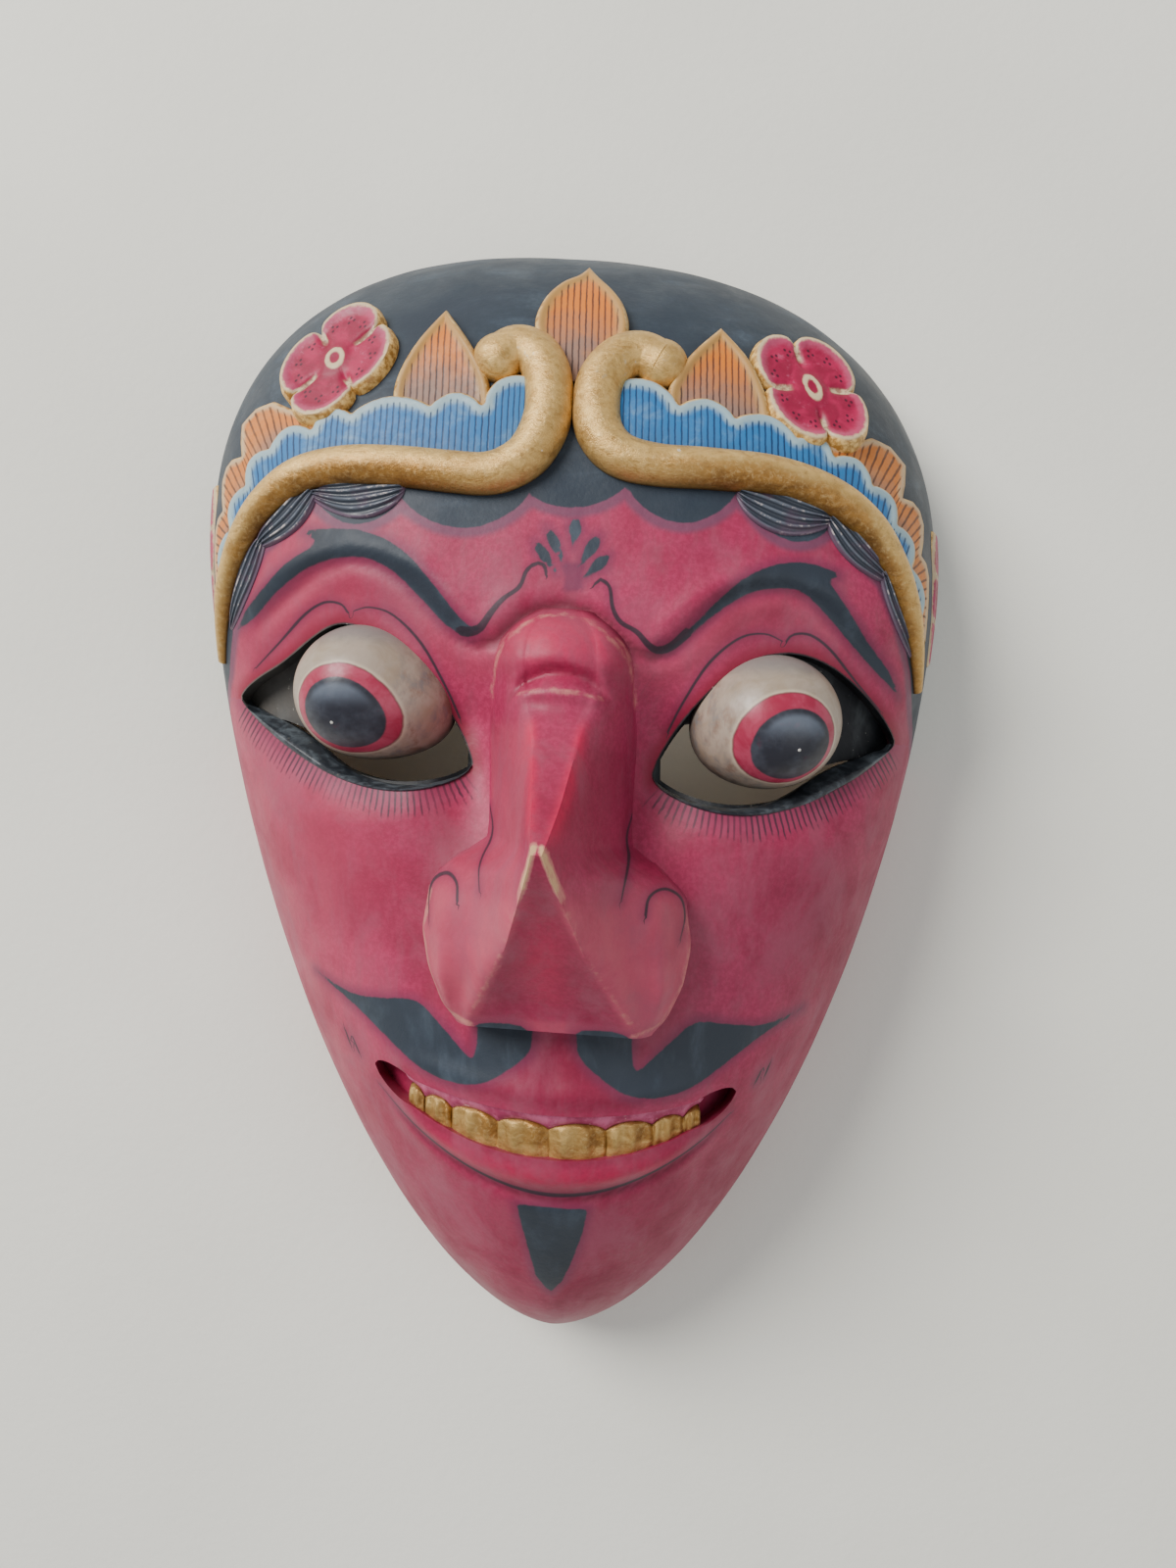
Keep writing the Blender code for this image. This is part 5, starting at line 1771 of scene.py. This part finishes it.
def make_teeth(name):
    """The row of rounded gilt teeth set back in the mouth."""
    x = np.linspace(TEETH_EDGES[0], TEETH_EDGES[-1], 230)
    number, in_tooth = tooth_places(x)
    arch = np.clip(np.sin(math.pi * in_tooth), 0, 1) ** 0.45
    lower = np.stack([x, mouth_line(x, "lower") - 0.8], -1)
    upper = np.stack([x, mouth_line(x, "upper") - 2.6 + 1.5 * arch], -1)
    rows = np.linspace(0, 1, 22)[:, None]
    x, y = between(lower, upper, len(rows))
    chisel = 0.12 * np.sin(in_tooth * math.pi * 5 + number) * np.sin(math.pi * rows)
    bulge = (0.6 + 0.4 * arch[None, :]) * (0.8 + 0.2 * np.sin(math.pi * np.clip(rows * 1.1, 0, 1)))
    bulge = bulge * (1 - np.clip((rows - 0.86) / 0.14, 0, 1) ** 2) + chisel * (rows < 0.86)
    level = face_height(x, y) - MOUTH_DEPTH
    piece = slab(name, to_metres(x, y, level + 2.9 * bulge), to_metres(x, y, level - 0.8), 50)
    store_sheet(piece, "roll", 1.05 * bulge, 0.9 - 1.6 * in_tooth, rows)
    return piece


def make_gum(name):
    """The pink scalloped gum that shows between the upper lip and the teeth."""
    half = TEETH_EDGES[-1] + 0.2
    x = np.linspace(-half, half, 160)
    _, in_tooth = tooth_places(x)
    scallop = 1.3 * np.clip(np.sin(math.pi * in_tooth), 0, 1) ** 0.6
    thick = (3.3 - scallop) * np.sqrt(np.clip((half + 0.1 - np.abs(x)) / 3, 0.02, 1))
    lower = np.stack([x, mouth_line(x, "upper") + 0.4 - thick], -1)
    upper = np.stack([x, mouth_line(x, "upper") + 0.4], -1)
    rows = np.linspace(0, 1, 9)[:, None]
    x, y = between(lower, upper, len(rows))
    level = face_height(x, y)
    drop = 1.0 - 0.7 * rows + 0.9 * (1 - rows) ** 4
    return slab(name, to_metres(x, y, level - drop), to_metres(x, y, level - 4.6))


def rim_side(level):
    """Half width of the rim at a level."""
    x, y = rim_outline()
    right = x > 0
    order = np.argsort(y[right])
    return float(np.interp(level, y[right][order], x[right][order]))


TAB_TOP = 49
TAB_LENGTH = 24
TAB_HEIGHT = 19
TAB_HALF_WIDTH = 4.6
TAB_LOBES = 3


def make_ear_tab(side, name):
    """The narrow pink ornament with its gilt edge, on the flank outside the band."""
    share = np.linspace(0, 1, 70)
    rows = np.linspace(-1, 1, 13)[:, None]
    lobes = np.abs(np.sin(share * math.pi * TAB_LOBES))
    width = TAB_HALF_WIDTH * np.sin(math.pi * (0.08 + 0.86 * share)) ** 0.5 + 0.6 * lobes
    y = TAB_TOP - TAB_LENGTH * share + 0 * rows
    height = TAB_HEIGHT - 3 * share + rows * width
    levels = np.linspace(-10, 99, 40)
    reach = np.interp(y, levels, [rim_side(level) for level in levels])
    x = reach * (1 - (height / DOME) ** 2) ** (1 / 3)
    edge = (1 - np.abs(rows)) * width
    edge = np.minimum(edge, 26 * np.minimum(share, 1 - share) + 0.2)
    proud = rounded_edge(edge, 1.4, 1.0) - 0.8
    top = to_metres(side * (x + proud), y, height)
    foot = to_metres(side * (x - 3), y, height)
    piece = slab(name, top, foot)
    store_sheet(piece, "drawing", 1.6 * edge, 2 * lobes, 9.0)
    store(piece, "lobe", *np.zeros((3, len(piece.data.vertices))))
    return piece


def make_glint(side, name):
    """The tiny white dot painted on the pupil."""
    mesh = bmesh.new()
    bmesh.ops.create_uvsphere(mesh, u_segments=16, v_segments=8, radius=0.28 * STEP)
    look = Vector((*DOT_LOOK[side], 1.0)).normalized()
    place = eye_middle(side) + Vector((look.x, look.y * 0.95, look.z)) * EYE_RADIUS * STEP
    for vertex in mesh.verts:
        vertex.co.z *= 0.5
        vertex.co += place
    return finish_mesh(mesh, name)


# Stage

def make_floor():
    """A wide level sheet under the mask."""
    mesh = bmesh.new()
    bmesh.ops.create_grid(mesh, x_segments=40, y_segments=40, size=FLOOR_HALF)
    floor = finish_mesh(mesh, "floor")
    return clothe(floor, pale_floor())


def make_camera():
    """Looks straight down on the lying mask from the photograph's short distance."""
    data = bpy.data.cameras.new("camera")
    data.lens = CAMERA_LENS
    data.sensor_width = 36
    data.clip_start = 0.01
    made = bpy.data.objects.new("camera", data)
    x, y, z = CAMERA_PLACE
    made.location = (x * STEP, (y - MIDDLE_Y) * STEP, z * STEP)
    made.rotation_euler = (0, math.radians(CAMERA_YAW), math.radians(CAMERA_ROLL))
    bpy.context.scene.collection.objects.link(made)
    bpy.context.scene.camera = made


def soft_light(name, place, target, size, power, colour):
    """A round area light that faces its target."""
    data = bpy.data.lights.new(name, "AREA")
    data.shape = "DISK"
    data.size = size
    data.energy = power
    data.color = colour
    made = bpy.data.objects.new(name, data)
    made.location = place
    made.rotation_euler = (Vector(target) - Vector(place)).to_track_quat("-Z", "Y").to_euler()
    bpy.context.scene.collection.objects.link(made)


def make_lights():
    """Broad soft light from the upper left, a weak fill, and a glimmer behind the eye slots."""
    for name, light in LIGHTS.items():
        soft_light(name, *light)
    world = bpy.data.worlds.new("surround")
    world.use_nodes = True
    surround = world.node_tree.nodes["Background"].inputs
    surround["Color"].default_value = SURROUND_COLOUR
    surround["Strength"].default_value = SURROUND_STRENGTH
    bpy.context.scene.world = world


def join_mask(piece):
    """Rides a piece on the mask's body."""
    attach(piece, "root")
    return piece


def main():
    """Builds the pieces of the mask, then the floor, camera and lights."""
    paint = face_paint()
    wood = raw_wood()
    gold = gold_paint()
    black = lid_black()
    petal = petal_paint()
    eye = eye_paint()
    hair = combed_hair()
    white = white_dot()
    leaf_paint = hatched("leaf_paint", ORANGE, ORANGE_GREY, LEAF_RIM, LEAF_LINE)
    blue_paint = hatched("blue_paint", BLUE, BLUE_FOOT, BLUE_LIGHT, BLUE_DARK, rim_gold=0.5)
    temple_paint = hatched("temple_paint", TEMPLE_ORANGE, TEMPLE_FOOT, TEMPLE_RIM,
                           TEMPLE_LINE, rim_width=0.9, rim_gold=0.55)
    skin = clothe(make_skin(), paint, wood)
    bare_back(skin)
    paint_face(skin)
    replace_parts(join_mask(skin), "carved_mask")
    nose = clothe(make_nose(), paint)
    paint_face(nose)
    join_mask(nose)
    join_mask(clothe(make_gum("upper_gum"), gum_pink()))
    join_mask(clothe(make_teeth("teeth"), gold_paint("tooth_gold", 0.25)))
    for side, word in ((-1, "left"), (1, "right")):
        join_mask(clothe(make_band(side, word + "_gold_band"), gold))
        join_mask(clothe(make_lappets(side, word + "_lappets"), blue_paint))
        join_mask(clothe(make_temple_border(side, word + "_temple_border"), temple_paint))
        join_mask(clothe(make_leaf(word + "_side_leaf", word), leaf_paint))
        join_mask(clothe(make_flower(side, word + "_flower"), petal))
        for number in range(len(LOCKS[side])):
            lock = make_lock(number, side, "%s_lock_%d" % (word, number + 1))
            join_mask(clothe(lock, hair))
        join_mask(clothe(make_eyeball(side, word + "_eyeball"), eye))
        join_mask(clothe(make_glint(side, word + "_eye_dot"), white))
        join_mask(clothe(make_eye_rim(side, word + "_lower_lid"), black))
        join_mask(clothe(make_ear_tab(side, word + "_ear_tab"), petal))
    join_mask(clothe(make_leaf("crown_leaf", "crown"), leaf_paint))
    make_floor()
    make_camera()
    make_lights()


main()
